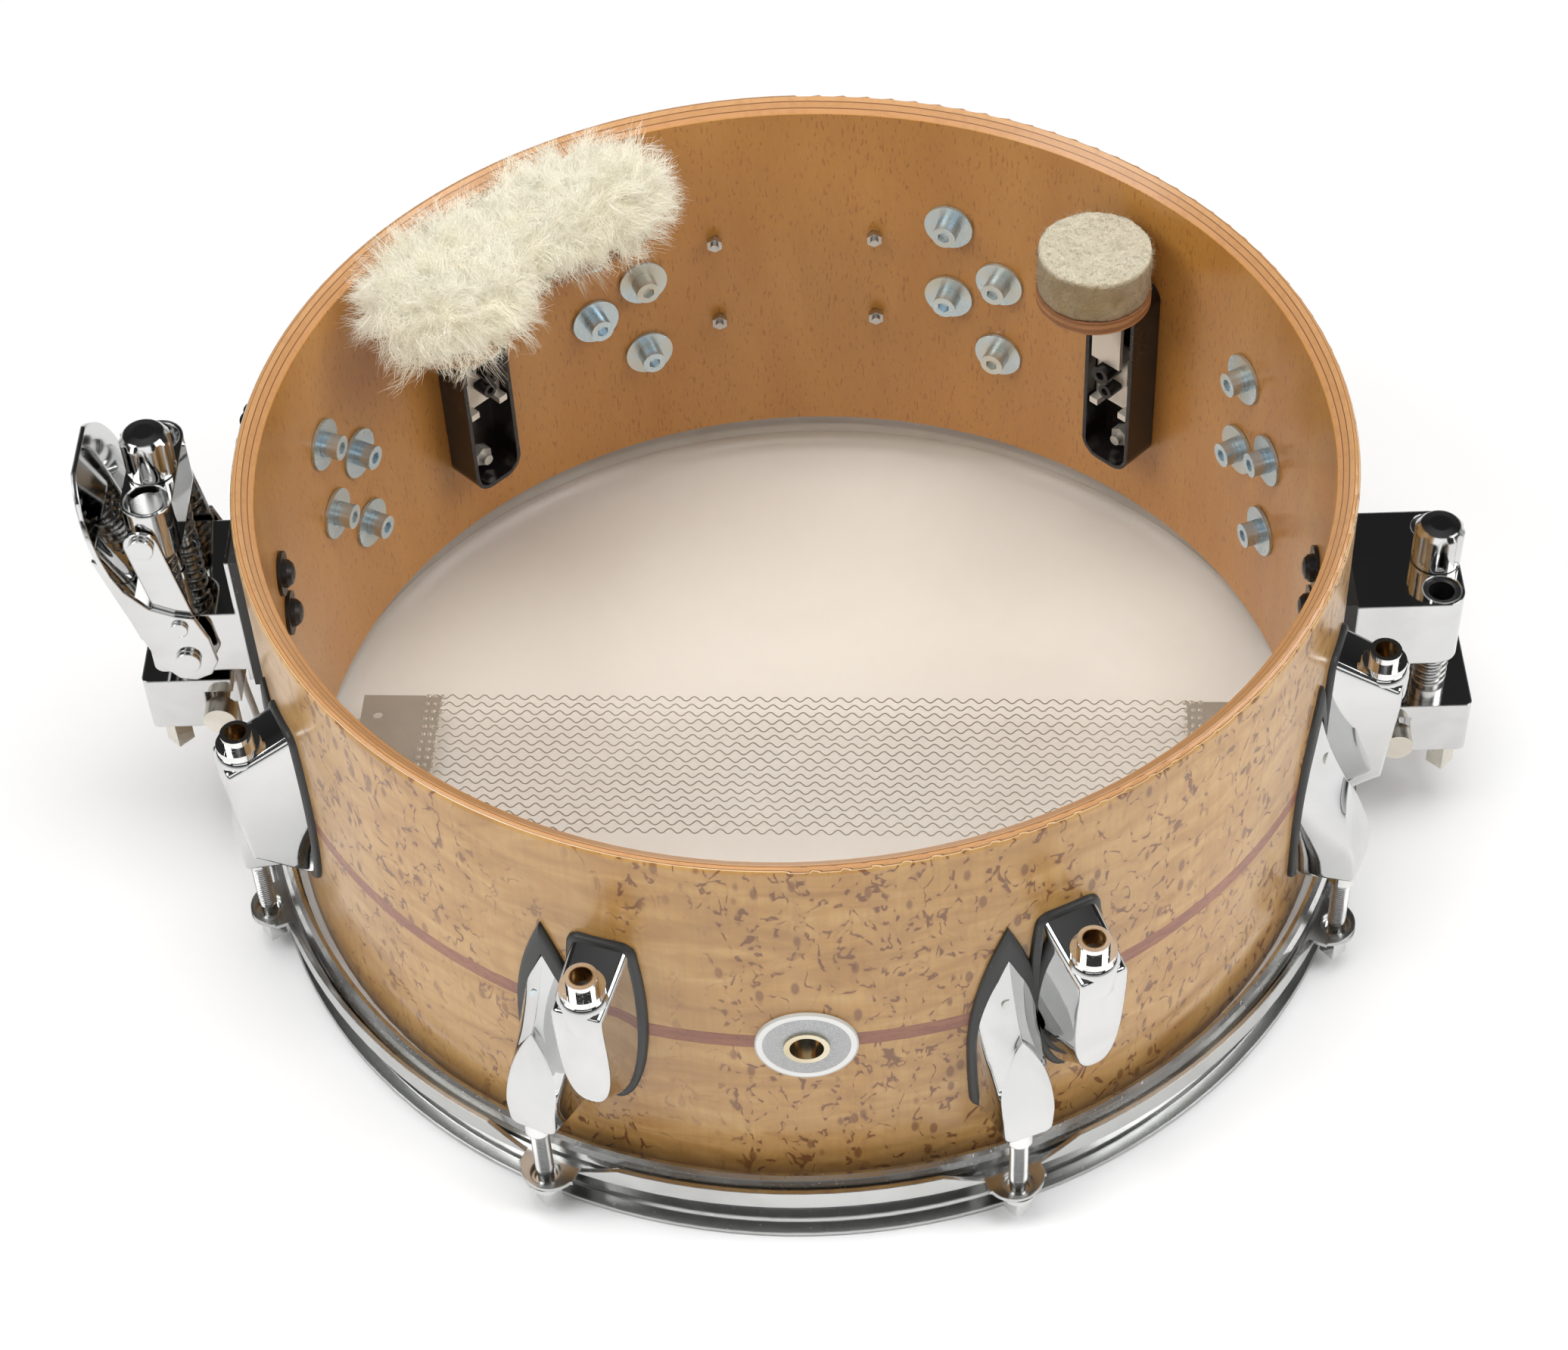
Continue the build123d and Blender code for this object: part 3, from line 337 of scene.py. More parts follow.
class Effects:
    """Shader effects that several finishes share."""

    def __init__(self) -> None:
        """Build every group once."""
        self.wear = self._wear()
        self.grain = self._grain()
        self.fibre = self._fibre()

    def _wear(self) -> bpy.types.NodeTree:
        """Handling marks: soft smudges, hairline scratches and fine dust."""
        tree, start, end = new_group(
            "HandlingWear",
            {"Vector": ("Vector", None), "Scale": ("Float", 1.0)},
            {"Smudge": "Float", "Scratch": "Float", "Dust": "Float"},
        )
        place = start.outputs["Vector"]
        size = start.outputs["Scale"]
        smudge = tree.noise(place, tree.mul(size, 45.0), 4.0, 0.6)
        tree.feed(end.inputs["Smudge"], tree.span(smudge, 0.42, 0.72))
        long = tree.stretch(place, (1.0, 0.12, 1.6))
        hair = tree.noise(long, tree.mul(size, 900.0), 2.0)
        tree.feed(end.inputs["Scratch"], tree.span(hair, 0.64, 0.72))
        specks = tree.noise(place, tree.mul(size, 1500.0), 1.0)
        tree.feed(end.inputs["Dust"], tree.span(specks, 0.74, 0.80))
        return tree.tree

    def _grain(self) -> bpy.types.NodeTree:
        """Wood grain: long fibres, their pores and a broad change of tone."""
        tree, start, end = new_group(
            "WoodGrain",
            {"Vector": ("Vector", None), "Across": ("Float", 600.0), "Broad": ("Float", 20.0)},
            {"Fibre": "Float", "Pore": "Float", "Tone": "Float"},
        )
        place = start.outputs["Vector"]
        across = start.outputs["Across"]
        fibre = tree.noise(place, across, 3.0, 0.3)
        tree.feed(end.inputs["Fibre"], tree.span(fibre, 0.34, 0.66))
        pore = tree.noise(place, tree.mul(across, 1.7), 1.0)
        tree.feed(end.inputs["Pore"], tree.span(pore, 0.62, 0.70))
        tone = tree.noise(place, start.outputs["Broad"], 3.0, 0.8)
        tree.feed(end.inputs["Tone"], tree.span(tone, 0.3, 0.7))
        return tree.tree

    def _fibre(self) -> bpy.types.NodeTree:
        """Matted or twisted fibres: fine strands and soft clumps."""
        tree, start, end = new_group(
            "MattedFibre",
            {"Vector": ("Vector", None), "Scale": ("Float", 1.0)},
            {"Strand": "Float", "Clump": "Float"},
        )
        place = start.outputs["Vector"]
        size = start.outputs["Scale"]
        strand = tree.noise(place, tree.mul(size, 1100.0), 4.0, 2.2)
        tree.feed(end.inputs["Strand"], tree.span(strand, 0.3, 0.7))
        clump = tree.noise(place, tree.mul(size, 130.0), 3.0, 1.0)
        tree.feed(end.inputs["Clump"], tree.span(clump, 0.3, 0.7))
        return tree.tree


class Finish:
    """Base of every finish: builds its material once and dresses objects with it."""

    name: str

    def shade(self, tree: Tree, shader: bpy.types.Node, effects: Effects) -> None:
        """Wire the finish's own nodes into the shader."""
        raise NotImplementedError

    def material(self, effects: Effects) -> bpy.types.Material:
        """Build the material, or return the one already built.

        Args:
            effects: The shared shader groups.

        Returns:
            The material.
        """
        known = bpy.data.materials.get(self.name)
        if known:
            return known
        made = bpy.data.materials.new(self.name)
        made.use_nodes = True
        made.node_tree.nodes.clear()
        tree = Tree(made.node_tree)
        shader = tree.add("BsdfPrincipled")
        output = tree.add("OutputMaterial")
        tree.feed(output.inputs["Surface"], shader.outputs[0])
        self.shade(tree, shader, effects)
        return made

    def dress(self, obj: bpy.types.Object, effects: Effects) -> None:
        """Give an object this finish in every slot.

        Args:
            obj: The object.
            effects: The shared shader groups.
        """
        made = self.material(effects)
        if not obj.material_slots:
            obj.data.materials.append(made)
        for slot in obj.material_slots:
            slot.link = "OBJECT"
            slot.material = made


@dataclass(frozen=True)
class Metal(Finish):
    """Plated, turned or oxidised metal."""

    name: str
    color: Color
    second: Color
    roughness: float
    smudge: float = 0.08
    soften: float = 0.0
    scratch: float = 0.3
    metallic: float = 1.0
    thread: float = 0.0
    thread_low: float = 0.0

    def shade(self, tree: Tree, shader: bpy.types.Node, effects: Effects) -> None:
        """Smudged roughness, hairline scratches, rounded edges and threads."""
        place = tree.coords()
        wear = tree.group(effects.wear, Vector=place, Scale=1.0)
        tone = tree.mix(wear.outputs["Smudge"], self.color, self.second)
        tree.feed(shader.inputs["Base Color"], tone)
        rough = tree.scaled(wear.outputs["Smudge"], self.smudge, self.roughness)
        rough = tree.math("ADD", rough, tree.math("MULTIPLY", wear.outputs["Dust"], 0.12), clamp=True)
        tree.feed(shader.inputs["Roughness"], rough)
        shader.inputs["Metallic"].default_value = self.metallic
        height = tree.mul(wear.outputs["Scratch"], 0.02 * self.scratch)
        if self.thread:
            _, _, z = tree.axes(place)
            turn = tree.math("SINE", tree.mul(z, 2 * math.pi / self.thread))
            above = tree.span(z, self.thread_low, self.thread_low + 0.0005)
            height = tree.plus(height, tree.mul(turn, above))
        bump = tree.bump(height, 0.0003 if self.thread else 0.0005)
        if self.soften:
            edge = tree.add("Bevel", samples=4)
            edge.inputs["Radius"].default_value = self.soften
            tree.feed(bump.node.inputs["Normal"], edge.outputs[0])
        tree.feed(shader.inputs["Normal"], bump)


@dataclass(frozen=True)
class NutMetal(Finish):
    """Chromed nuts set in a ring, with bare brass in their bores."""

    name: str
    start: float
    circle_r: float
    bore_r: float
    count: int = 8

    def shade(self, tree: Tree, shader: bpy.types.Node, effects: Effects) -> None:
        """Brass near each nut's own axis and chrome outside."""
        place = tree.coords()
        x, y, _ = tree.axes(place)
        pitch = 2 * math.pi / self.count
        turns = tree.math(
            "DIVIDE", tree.minus(tree.math("ARCTAN2", y, x), math.radians(self.start)), pitch
        )
        part = tree.minus(tree.math("FRACT", tree.plus(turns, 20.5)), 0.5)
        angle = tree.mul(part, pitch)
        radius = tree.radius(place)
        ahead = tree.minus(tree.mul(radius, tree.math("COSINE", angle)), self.circle_r)
        aside = tree.mul(radius, tree.math("SINE", angle))
        away = tree.math("SQRT", tree.plus(tree.mul(ahead, ahead), tree.mul(aside, aside)))
        inside = tree.math("LESS_THAN", away, self.bore_r + 0.0003)
        wear = tree.group(effects.wear, Vector=place, Scale=1.5)
        bare = tree.mix(wear.outputs["Smudge"], (0.50, 0.36, 0.20), (0.34, 0.22, 0.11))
        tree.feed(shader.inputs["Base Color"], tree.mix(inside, (0.78, 0.78, 0.77), bare))
        shader.inputs["Metallic"].default_value = 1.0
        rough = tree.plus(tree.mul(wear.outputs["Smudge"], 0.08), tree.mul(inside, 0.2))
        tree.feed(shader.inputs["Roughness"], tree.plus(rough, 0.05))
        tree.feed(shader.inputs["Normal"], tree.bump(wear.outputs["Scratch"], 0.00002))


@dataclass(frozen=True)
class Moulded(Finish):
    """Rubber, plastic or paint."""

    name: str
    color: Color
    second: Color
    roughness: float
    grain: float = 0.5
    coat: float = 0.0

    def shade(self, tree: Tree, shader: bpy.types.Node, effects: Effects) -> None:
        """Fine moulded texture with smudges and dust."""
        place = tree.coords()
        wear = tree.group(effects.wear, Vector=place, Scale=0.8)
        tone = tree.mix(wear.outputs["Smudge"], self.color, self.second)
        tone = tree.mix(tree.mul(wear.outputs["Dust"], 0.25), tone, (0.5, 0.5, 0.48))
        tree.feed(shader.inputs["Base Color"], tone)
        rough = tree.scaled(wear.outputs["Smudge"], 0.12, self.roughness)
        tree.feed(shader.inputs["Roughness"], rough)
        shader.inputs["Coat Weight"].default_value = self.coat
        pebble = tree.noise(place, 2600.0, 2.0)
        tree.feed(shader.inputs["Normal"], tree.bump(pebble, 0.00006 * self.grain))


@dataclass(frozen=True)
class ShellWood(Finish):
    """Burl veneer outside, beech inside, and the plies on the bearing edges."""

    name: str = "ShellWood"
    inner_r: float = 0.1705
    outer_r: float = 0.1775

    def shade(self, tree: Tree, shader: bpy.types.Node, effects: Effects) -> None:
        """Choose veneer, ply edges or lining by the distance from the axis."""
        place = tree.coords()
        radius = tree.radius(place)
        veneer, veneer_height = self._veneer(tree, place, effects)
        lining, lining_height = self._lining(tree, place, effects)
        plies = self._plies(tree, radius, place)
        outside = tree.math("GREATER_THAN", radius, self.outer_r - 0.0006)
        inside = tree.math("LESS_THAN", radius, self.inner_r + 0.0002)
        tone = tree.mix(outside, plies, veneer)
        tone = tree.mix(inside, tone, lining)
        tree.feed(shader.inputs["Base Color"], tone)
        height = tree.plus(tree.mul(veneer_height, outside), tree.mul(lining_height, inside))
        tree.feed(shader.inputs["Normal"], tree.bump(height, 0.00012))
        wear = tree.group(effects.wear, Vector=place, Scale=0.3)
        rough = tree.scaled(wear.outputs["Smudge"], 0.08, 0.34)
        tree.feed(shader.inputs["Roughness"], rough)
        shader.inputs["Coat Weight"].default_value = 0.35
        shader.inputs["Coat Roughness"].default_value = 0.16

    def _veneer(self, tree: Tree, place: Socket, effects: Effects) -> tuple[Socket, Socket]:
        """Pale burl veneer with short brown flecks in drifts."""
        tall = tree.stretch(place, (1.0, 1.0, 0.05))
        grain = tree.group(effects.grain, Vector=tall, Across=520.0, Broad=26.0)
        figure = tree.noise(tree.stretch(place, (1.0, 1.0, 3.2)), 24.0, 3.0, 1.4)
        tone = tree.ramp(
            figure,
            [(0.28, (0.37, 0.178, 0.042)), (0.5, (0.50, 0.265, 0.074)), (0.72, (0.59, 0.348, 0.124))]
        )
        tone = tree.mix(tree.mul(grain.outputs["Fibre"], 0.16), tone, (0.29, 0.135, 0.035))
        tone = tree.mix(tree.mul(grain.outputs["Tone"], 0.25), tone, (0.58, 0.37, 0.16))
        curl = tree.noise(tree.stretch(place, (1.0, 1.0, 0.60)), 120.0, 2.5, 0.7)
        line = tree.span(tree.math("ABSOLUTE", tree.minus(curl, 0.5)), 0.008, 0.036, 1.0, 0.0)
        parts = tree.span(tree.noise(place, 260.0, 1.0), 0.49, 0.55)
        drifts = tree.span(tree.noise(tree.stretch(place, (1.0, 1.0, 0.34)), 15.0, 2.0, 0.8), 0.36, 0.52)
        cells = tree.add("TexVoronoi")
        tree.feed(cells.inputs["Vector"], tree.stretch(place, (1.0, 1.0, 0.45)))
        cells.inputs["Scale"].default_value = 185.0
        spots = tree.span(cells.outputs["Distance"], 0.16, 0.30, 1.0, 0.0)
        chosen = tree.math("GREATER_THAN", tree.axes(cells.outputs["Color"])[0], 0.48)
        spots = tree.mul(spots, chosen)
        strokes = tree.mul(line, parts)
        flecks = tree.mul(tree.math("MAXIMUM", strokes, tree.mul(spots, 0.8)), drifts)
        halo = tree.mul(
            tree.span(tree.math("ABSOLUTE", tree.minus(curl, 0.5)), 0.0, 0.07, 1.0, 0.0),
            tree.mul(drifts, 0.30)
        )
        tone = tree.mix(halo, tone, (0.36, 0.175, 0.055))
        tone = tree.mix(tree.mul(flecks, 0.85), tone, (0.155, 0.048, 0.010))
        height = tree.minus(tree.mul(grain.outputs["Fibre"], 0.15), tree.mul(flecks, 0.4))
        return tone, height

    def _lining(self, tree: Tree, place: Socket, effects: Effects) -> tuple[Socket, Socket]:
        """Beech lining with short upright ray flecks."""
        tall = tree.stretch(place, (1.0, 1.0, 0.24))
        grain = tree.group(effects.grain, Vector=tall, Across=640.0, Broad=12.0)
        broad = tree.noise(tree.stretch(place, (1.0, 1.0, 0.25)), 30.0, 3.0, 0.5)
        tone = tree.ramp(broad, [(0.3, (0.49, 0.210, 0.040)), (0.7, (0.58, 0.280, 0.062))])
        tone = tree.mix(tree.mul(grain.outputs["Tone"], 0.3), tone, (0.58, 0.29, 0.075))
        rays = tree.span(tree.noise(tall, 1150.0, 1.5), 0.60, 0.68)
        tone = tree.mix(tree.mul(rays, 0.50), tone, (0.27, 0.095, 0.025))
        tone = tree.mix(tree.mul(grain.outputs["Fibre"], 0.12), tone, (0.40, 0.17, 0.06))
        return tone, tree.mul(rays, -0.3)

    def _plies(self, tree: Tree, radius: Socket, place: Socket) -> Socket:
        """Cut edges of the plies with their dark glue lines."""
        wobble = tree.mul(tree.minus(tree.noise(place, 40.0, 2.0), 0.5), 0.0003)
        across = tree.math(
            "DIVIDE", tree.minus(tree.plus(radius, wobble), self.inner_r), self.outer_r - self.inner_r
        )
        pale = (0.74, 0.52, 0.28)
        glue = (0.22, 0.09, 0.035)
        tan = (0.54, 0.28, 0.115)
        stops = [
            (0.0, (0.57, 0.29, 0.12)), (0.22, glue), (0.26, tan), (0.47, glue), (
                0.51, (0.60, 0.33, 0.145)
            ),
            (0.70, glue), (0.735, tan), (0.86, glue), (0.885, pale),
        ]
        tone = tree.ramp(across, stops, hard=True)
        streak = tree.noise(place, 320.0, 3.0, 0.4)
        return tree.mix(tree.span(streak, 0.4, 0.8, 0.0, 0.35), tone, (0.38, 0.18, 0.07))


@dataclass(frozen=True)
class BandWood(Finish):
    """Inlay or plywood: grain, with optional plies across the height."""

    name: str
    color: Color
    dark: Color
    ply: float = 0.0
    coat: float = 0.3

    def shade(self, tree: Tree, shader: bpy.types.Node, effects: Effects) -> None:
        """Fine grain, pores and, on plywood, alternate plies."""
        place = tree.coords()
        flat = tree.stretch(place, (1.0, 1.0, 5.0))
        grain = tree.group(effects.grain, Vector=flat, Across=330.0, Broad=60.0)
        tone = tree.mix(tree.mul(grain.outputs["Tone"], 0.5), self.color, self.dark)
        tone = tree.mix(tree.mul(grain.outputs["Pore"], 0.6), tone, self.dark)
        if self.ply:
            _, _, z = tree.axes(place)
            layer = tree.math("PINGPONG", z, self.ply)
            dark = tree.span(layer, self.ply * 0.42, self.ply * 0.58)
            tone = tree.mix(tree.mul(dark, 0.65), tone, self.dark)
        tree.feed(shader.inputs["Base Color"], tone)
        rough = tree.scaled(grain.outputs["Fibre"], 0.15, 0.36 if self.coat else 0.62)
        tree.feed(shader.inputs["Roughness"], rough)
        shader.inputs["Coat Weight"].default_value = self.coat
        tree.feed(shader.inputs["Normal"], tree.bump(grain.outputs["Pore"], -0.00008))


@dataclass(frozen=True)
class HeadFilm(Finish):
    """Hazy drumhead film that the snare wires show through."""

    name: str = "HeadFilm"
    color: Color = (0.80, 0.71, 0.56)

    def shade(self, tree: Tree, shader: bpy.types.Node, effects: Effects) -> None:
        """Cloudy haze with fine dust and a soft gloss."""
        place = tree.coords()
        wear = tree.group(effects.wear, Vector=place, Scale=0.25)
        cloud = tree.noise(place, 14.0, 3.0, 0.4)
        tone = tree.mix(tree.span(cloud, 0.3, 0.7), self.color, (0.89, 0.82, 0.69))
        tree.feed(shader.inputs["Base Color"], tone)
        radius = tree.radius(place)
        collar = tree.span(radius, 0.1765, 0.1785)
        alpha = tree.minus(tree.span(cloud, 0.3, 0.7, 0.17, 0.22), tree.mul(collar, 0.20))
        tree.feed(shader.inputs["Alpha"], alpha)
        rough = tree.scaled(wear.outputs["Smudge"], 0.06, 0.13)
        tree.feed(shader.inputs["Roughness"], rough)
        tree.feed(shader.inputs["Normal"], tree.bump(wear.outputs["Dust"], 0.00003))


@dataclass(frozen=True)
class BadgeEnamel(Finish):
    """White enamel ring round a grey disc, about the vent's axis."""

    name: str
    centre_z: float
    disc_r: float
    rim_r: float

    def shade(self, tree: Tree, shader: bpy.types.Node, effects: Effects) -> None:
        """Ring and disc by the distance from the vent's axis."""
        place = tree.coords()
        x, _, z = tree.axes(place)
        up = tree.minus(z, self.centre_z)
        away = tree.math("SQRT", tree.plus(tree.mul(x, x), tree.mul(up, up)))
        wear = tree.group(effects.wear, Vector=place, Scale=1.0)
        disc = tree.math("LESS_THAN", away, self.disc_r)
        rim = tree.math("GREATER_THAN", away, self.rim_r)
        fleck = tree.noise(place, 2200.0, 2.0)
        grey = tree.mix(tree.span(fleck, 0.35, 0.7), (0.36, 0.37, 0.37), (0.50, 0.51, 0.51))
        tone = tree.mix(disc, (0.86, 0.86, 0.84), grey)
        tone = tree.mix(rim, tone, (0.55, 0.54, 0.50))
        tone = tree.mix(tree.mul(wear.outputs["Smudge"], 0.12), tone, (0.62, 0.61, 0.57))
        tree.feed(shader.inputs["Base Color"], tone)
        shader.inputs["Coat Weight"].default_value = 0.4
        rough = tree.scaled(wear.outputs["Smudge"], 0.1, 0.3)
        tree.feed(shader.inputs["Roughness"], rough)
        tree.feed(shader.inputs["Normal"], tree.bump(disc, -0.00012))


@dataclass(frozen=True)
class Fibrous(Finish):
    """Felt, wool or braided cord."""

    name: str
    color: Color
    shadow: Color
    # Colour of the side below the height: painted shade where the side faces away from the lamps.
    side: Color
    scale: float = 1.0
    depth: float = 0.0004
    shaded_side_below: float = 0.0
    sheen: float = 0.4
    # Emission strength in the fibre's own colour: a painted glow, as if the fibre gave off light.
    painted_glow: float = 0.0

    def shade(self, tree: Tree, shader: bpy.types.Node, effects: Effects) -> None:
        """Strands and clumps of fibre, with a painted shaded side below a height and an optional painted glow."""
        place = tree.coords()
        fibre = tree.group(effects.fibre, Vector=place, Scale=self.scale)
        _, _, z = tree.axes(place)
        wander = tree.mul(tree.minus(fibre.outputs["Clump"], 0.5), 0.0016)
        # Painted shade: below the height the darker side colour takes over, as the shaded side.
        above = tree.span(tree.plus(z, wander), self.shaded_side_below - 0.0009, self.shaded_side_below + 0.0006)
        tone = tree.mix(above, self.side, self.color)
        tone = tree.mix(tree.mul(fibre.outputs["Clump"], 0.4), tone, self.shadow)
        tone = tree.mix(tree.mul(fibre.outputs["Strand"], 0.25), tone, self.shadow)
        tree.feed(shader.inputs["Base Color"], tone)
        tree.feed(shader.inputs["Roughness"], tree.span(fibre.outputs["Strand"], 0.0, 1.0, 0.82, 0.97))
        shader.inputs["Sheen Weight"].default_value = self.sheen
        shader.inputs["Sheen Roughness"].default_value = 0.5
        # Painted glow: emission that brightens the fibre though it is no lamp.
        if self.painted_glow:
            tree.feed(shader.inputs["Emission Color"], tone)
            shader.inputs["Emission Strength"].default_value = self.painted_glow
        if self.depth:
            height = tree.plus(fibre.outputs["Strand"], tree.mul(fibre.outputs["Clump"], 1.5))
            tree.feed(shader.inputs["Normal"], tree.bump(height, self.depth))


CHROME = Metal("Chrome", (0.66, 0.665, 0.66), (0.60, 0.60, 0.595), 0.035, smudge=0.04, soften=0.0009)
LUG_CHROME = Metal(
    "LugChrome", (0.62, 0.625, 0.62), (0.58, 0.58, 0.575), 0.035, smudge=0.04, scratch=0.2
)
HOOP_CHROME = Metal(
    "HoopChrome", (0.52, 0.525, 0.515), (0.46, 0.46, 0.45), 0.17, smudge=0.06, soften=0.0006, scratch=0.2
)
BRIGHT_STEEL = Metal("BrightSteel", (0.60, 0.60, 0.59), (0.50, 0.50, 0.49), 0.22, smudge=0.12)
ROD_STEEL = Metal(
    "RodSteel", (0.70, 0.70, 0.69), (0.52, 0.52, 0.52), 0.16, thread=0.0010, thread_low=0.022
)
ZINC = Metal(
    "BlueZinc", (0.55, 0.68, 0.76), (0.66, 0.66, 0.58), 0.26, metallic=0.8, smudge=0.14, scratch=1.0
)
PLAIN_ZINC = Metal(
    "PlainZinc", (0.74, 0.71, 0.65), (0.58, 0.55, 0.49), 0.38, metallic=0.55, smudge=0.16, scratch=1.5
)
BATTER_NUTS = NutMetal("NutChrome", 25.8, 0.1928, 0.0033)
NICKEL = Metal("NickelGrommet", (0.66, 0.60, 0.46), (0.56, 0.47, 0.30), 0.16, smudge=0.14)
SATIN_RING = Metal("SatinRing", (0.70, 0.70, 0.69), (0.58, 0.58, 0.58), 0.24, smudge=0.12, scratch=3.0)
BLACK_OXIDE = Metal(
    "BlackOxide", (0.022, 0.021, 0.022), (0.045, 0.040, 0.036), 0.26, metallic=0.5, smudge=0.15
)
BLACK_RAIL = Metal(
    "BlackRail", (0.010, 0.008, 0.008), (0.020, 0.016, 0.015), 0.20, metallic=0.1, smudge=0.10,
    soften=0.0005
)
# Near-black snare wire: painted shade, the steel darkened as it lies in shade beneath the head film.
WIRE = Metal("ShadedSnareWire", (0.035, 0.030, 0.024), (0.020, 0.018, 0.014), 0.50, smudge=0.10)
END_PLATE = Metal("EndPlate", (0.24, 0.225, 0.21), (0.17, 0.16, 0.15), 0.40, smudge=0.14, scratch=2.0)
SOLDER = Metal("Solder", (0.80, 0.79, 0.76), (0.62, 0.61, 0.58), 0.22, smudge=0.12)
CLAMP = Metal("ClampMetal", (0.74, 0.70, 0.62), (0.62, 0.58, 0.50), 0.26, smudge=0.10)
RUBBER = Moulded("GasketRubber", (0.022, 0.023, 0.022), (0.034, 0.034, 0.034), 0.42, grain=0.7)
BUSHING = Moulded("BushPlastic", (0.010, 0.010, 0.011), (0.020, 0.020, 0.021), 0.34, grain=0.4)
NAMEPLATE = Moulded("PlateEnamel", (0.80, 0.80, 0.78), (0.70, 0.70, 0.67), 0.30, grain=0.3, coat=0.4)
INLAY = BandWood("InlayWood", (0.33, 0.125, 0.065), (0.17, 0.05, 0.03))
PLYWOOD = BandWood("Plywood", (0.56, 0.30, 0.13), (0.24, 0.095, 0.04), ply=0.00165, coat=0.0)
CORD = Fibrous(
    "BraidedCord", (0.80, 0.78, 0.72), (0.58, 0.55, 0.48), (0.80, 0.78, 0.72), scale=1.6, depth=0.0002
)


# --- Mesh building -----------------------------------------------------------------------
def mesh_piece(
    name: str, vertices: Sequence[Sequence[float]], faces: Sequence[Sequence[int]], smooth: bool = True
) -> bpy.types.Object:
    """Make an object from vertices and faces.

    Args:
        name: The object's name.
        vertices: Places in metres.
        faces: Vertex numbers of each face.
        smooth: Whether the faces shade smoothly.

    Returns:
        The object, linked to the scene.
    """
    mesh = bpy.data.meshes.new(name)
    mesh.from_pydata([tuple(v) for v in vertices], [], [tuple(f) for f in faces])
    mesh.update()
    mesh.polygons.foreach_set("use_smooth", [smooth] * len(mesh.polygons))
    piece = bpy.data.objects.new(name, mesh)
    bpy.context.scene.collection.objects.link(piece)
    return piece


def bands(rows: int, around: int, flip: bool = False) -> list[tuple[int, ...]]:
    """Faces between closed rows of vertices.

    Args:
        rows: How many rows there are.
        around: Vertices in each row.
        flip: Whether the faces turn the other way.

    Returns:
        The faces.
    """
    faces: list[tuple[int, ...]] = []
    for i in range(rows - 1):
        for j in range(around):
            k = (j + 1) % around
            face = (i * around + j, i * around + k, (i + 1) * around + k, (i + 1) * around + j)
            faces.append(face[:1] + face[:0:-1] if flip else face)
    return faces


def tube_rings(path: np.ndarray, radii: np.ndarray, sides: int) -> MeshData:
    """Rings of vertices along a path with capped ends.

    Args:
        path: Points of the centre line.
        radii: The radius at each point.
        sides: Vertices in each ring.

    Returns:
        The vertices and the faces.
    """
    count = len(path)
    along = np.gradient(path, axis=0)
    along /= np.linalg.norm(along, axis=1, keepdims=True) + 1e-12
    guide = np.array([0.0, 0.0, 1.0]) if abs(along[0, 2]) < 0.9 else np.array([1.0, 0.0, 0.0])
    side = np.cross(along, guide)
    side /= np.linalg.norm(side, axis=1, keepdims=True) + 1e-12
    other = np.cross(along, side)
    turn = np.arange(sides) / sides * 2 * math.pi
    ring = (
        np.cos(turn)[None, :, None] * side[:, None, :] + np.sin(turn)[None, :, None] * other[:, None, :]
    )
    vertices = (path[:, None, :] + ring * radii[:, None, None]).reshape(-1, 3)
    faces = bands(count, sides)
    faces.append(tuple(range(sides))[::-1])
    faces.append(tuple(range((count - 1) * sides, count * sides)))
    return vertices, faces


def join_rings(parts: Iterable[MeshData]) -> MeshData:
    """Put several sets of vertices and faces in one.

    Args:
        parts: The sets.

    Returns:
        All vertices and all faces.
    """
    vertices: list[np.ndarray] = []
    faces: list[tuple[int, ...]] = []
    shift = 0
    for points, made in parts:
        vertices.append(points)
        faces += [tuple(i + shift for i in face) for face in made]
        shift += len(points)
    return np.concatenate(vertices), faces


def remeshed(node: str, name: str, voxel: float, shape: Callable[[Vector], Vector]) -> bpy.types.Object:
    """Copy a soft CAD solid as an even mesh and shape its surface.

    Args:
        node: The CAD node.
        name: The new piece's name.
        voxel: The mesh's grid, in metres.
        shape: Gives each point's new place.

    Returns:
        The new piece.
    """
    copy = bpy.data.objects.new(name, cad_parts[node].data.copy())
    bpy.context.scene.collection.objects.link(copy)
    modifier = copy.modifiers.new("Even", "REMESH")
    modifier.mode = "VOXEL"
    modifier.voxel_size = voxel
    rounder = copy.modifiers.new("Round", "SMOOTH")
    rounder.iterations = 6
    graph = bpy.context.evaluated_depsgraph_get()
    mesh = bpy.data.meshes.new_from_object(copy.evaluated_get(graph))
    copy.modifiers.clear()
    copy.data = mesh
    for vertex in mesh.vertices:
        vertex.co = shape(vertex.co.copy())
    mesh.polygons.foreach_set("use_smooth", [True] * len(mesh.polygons))
    mesh.materials.clear()
    mesh.update()
    return copy


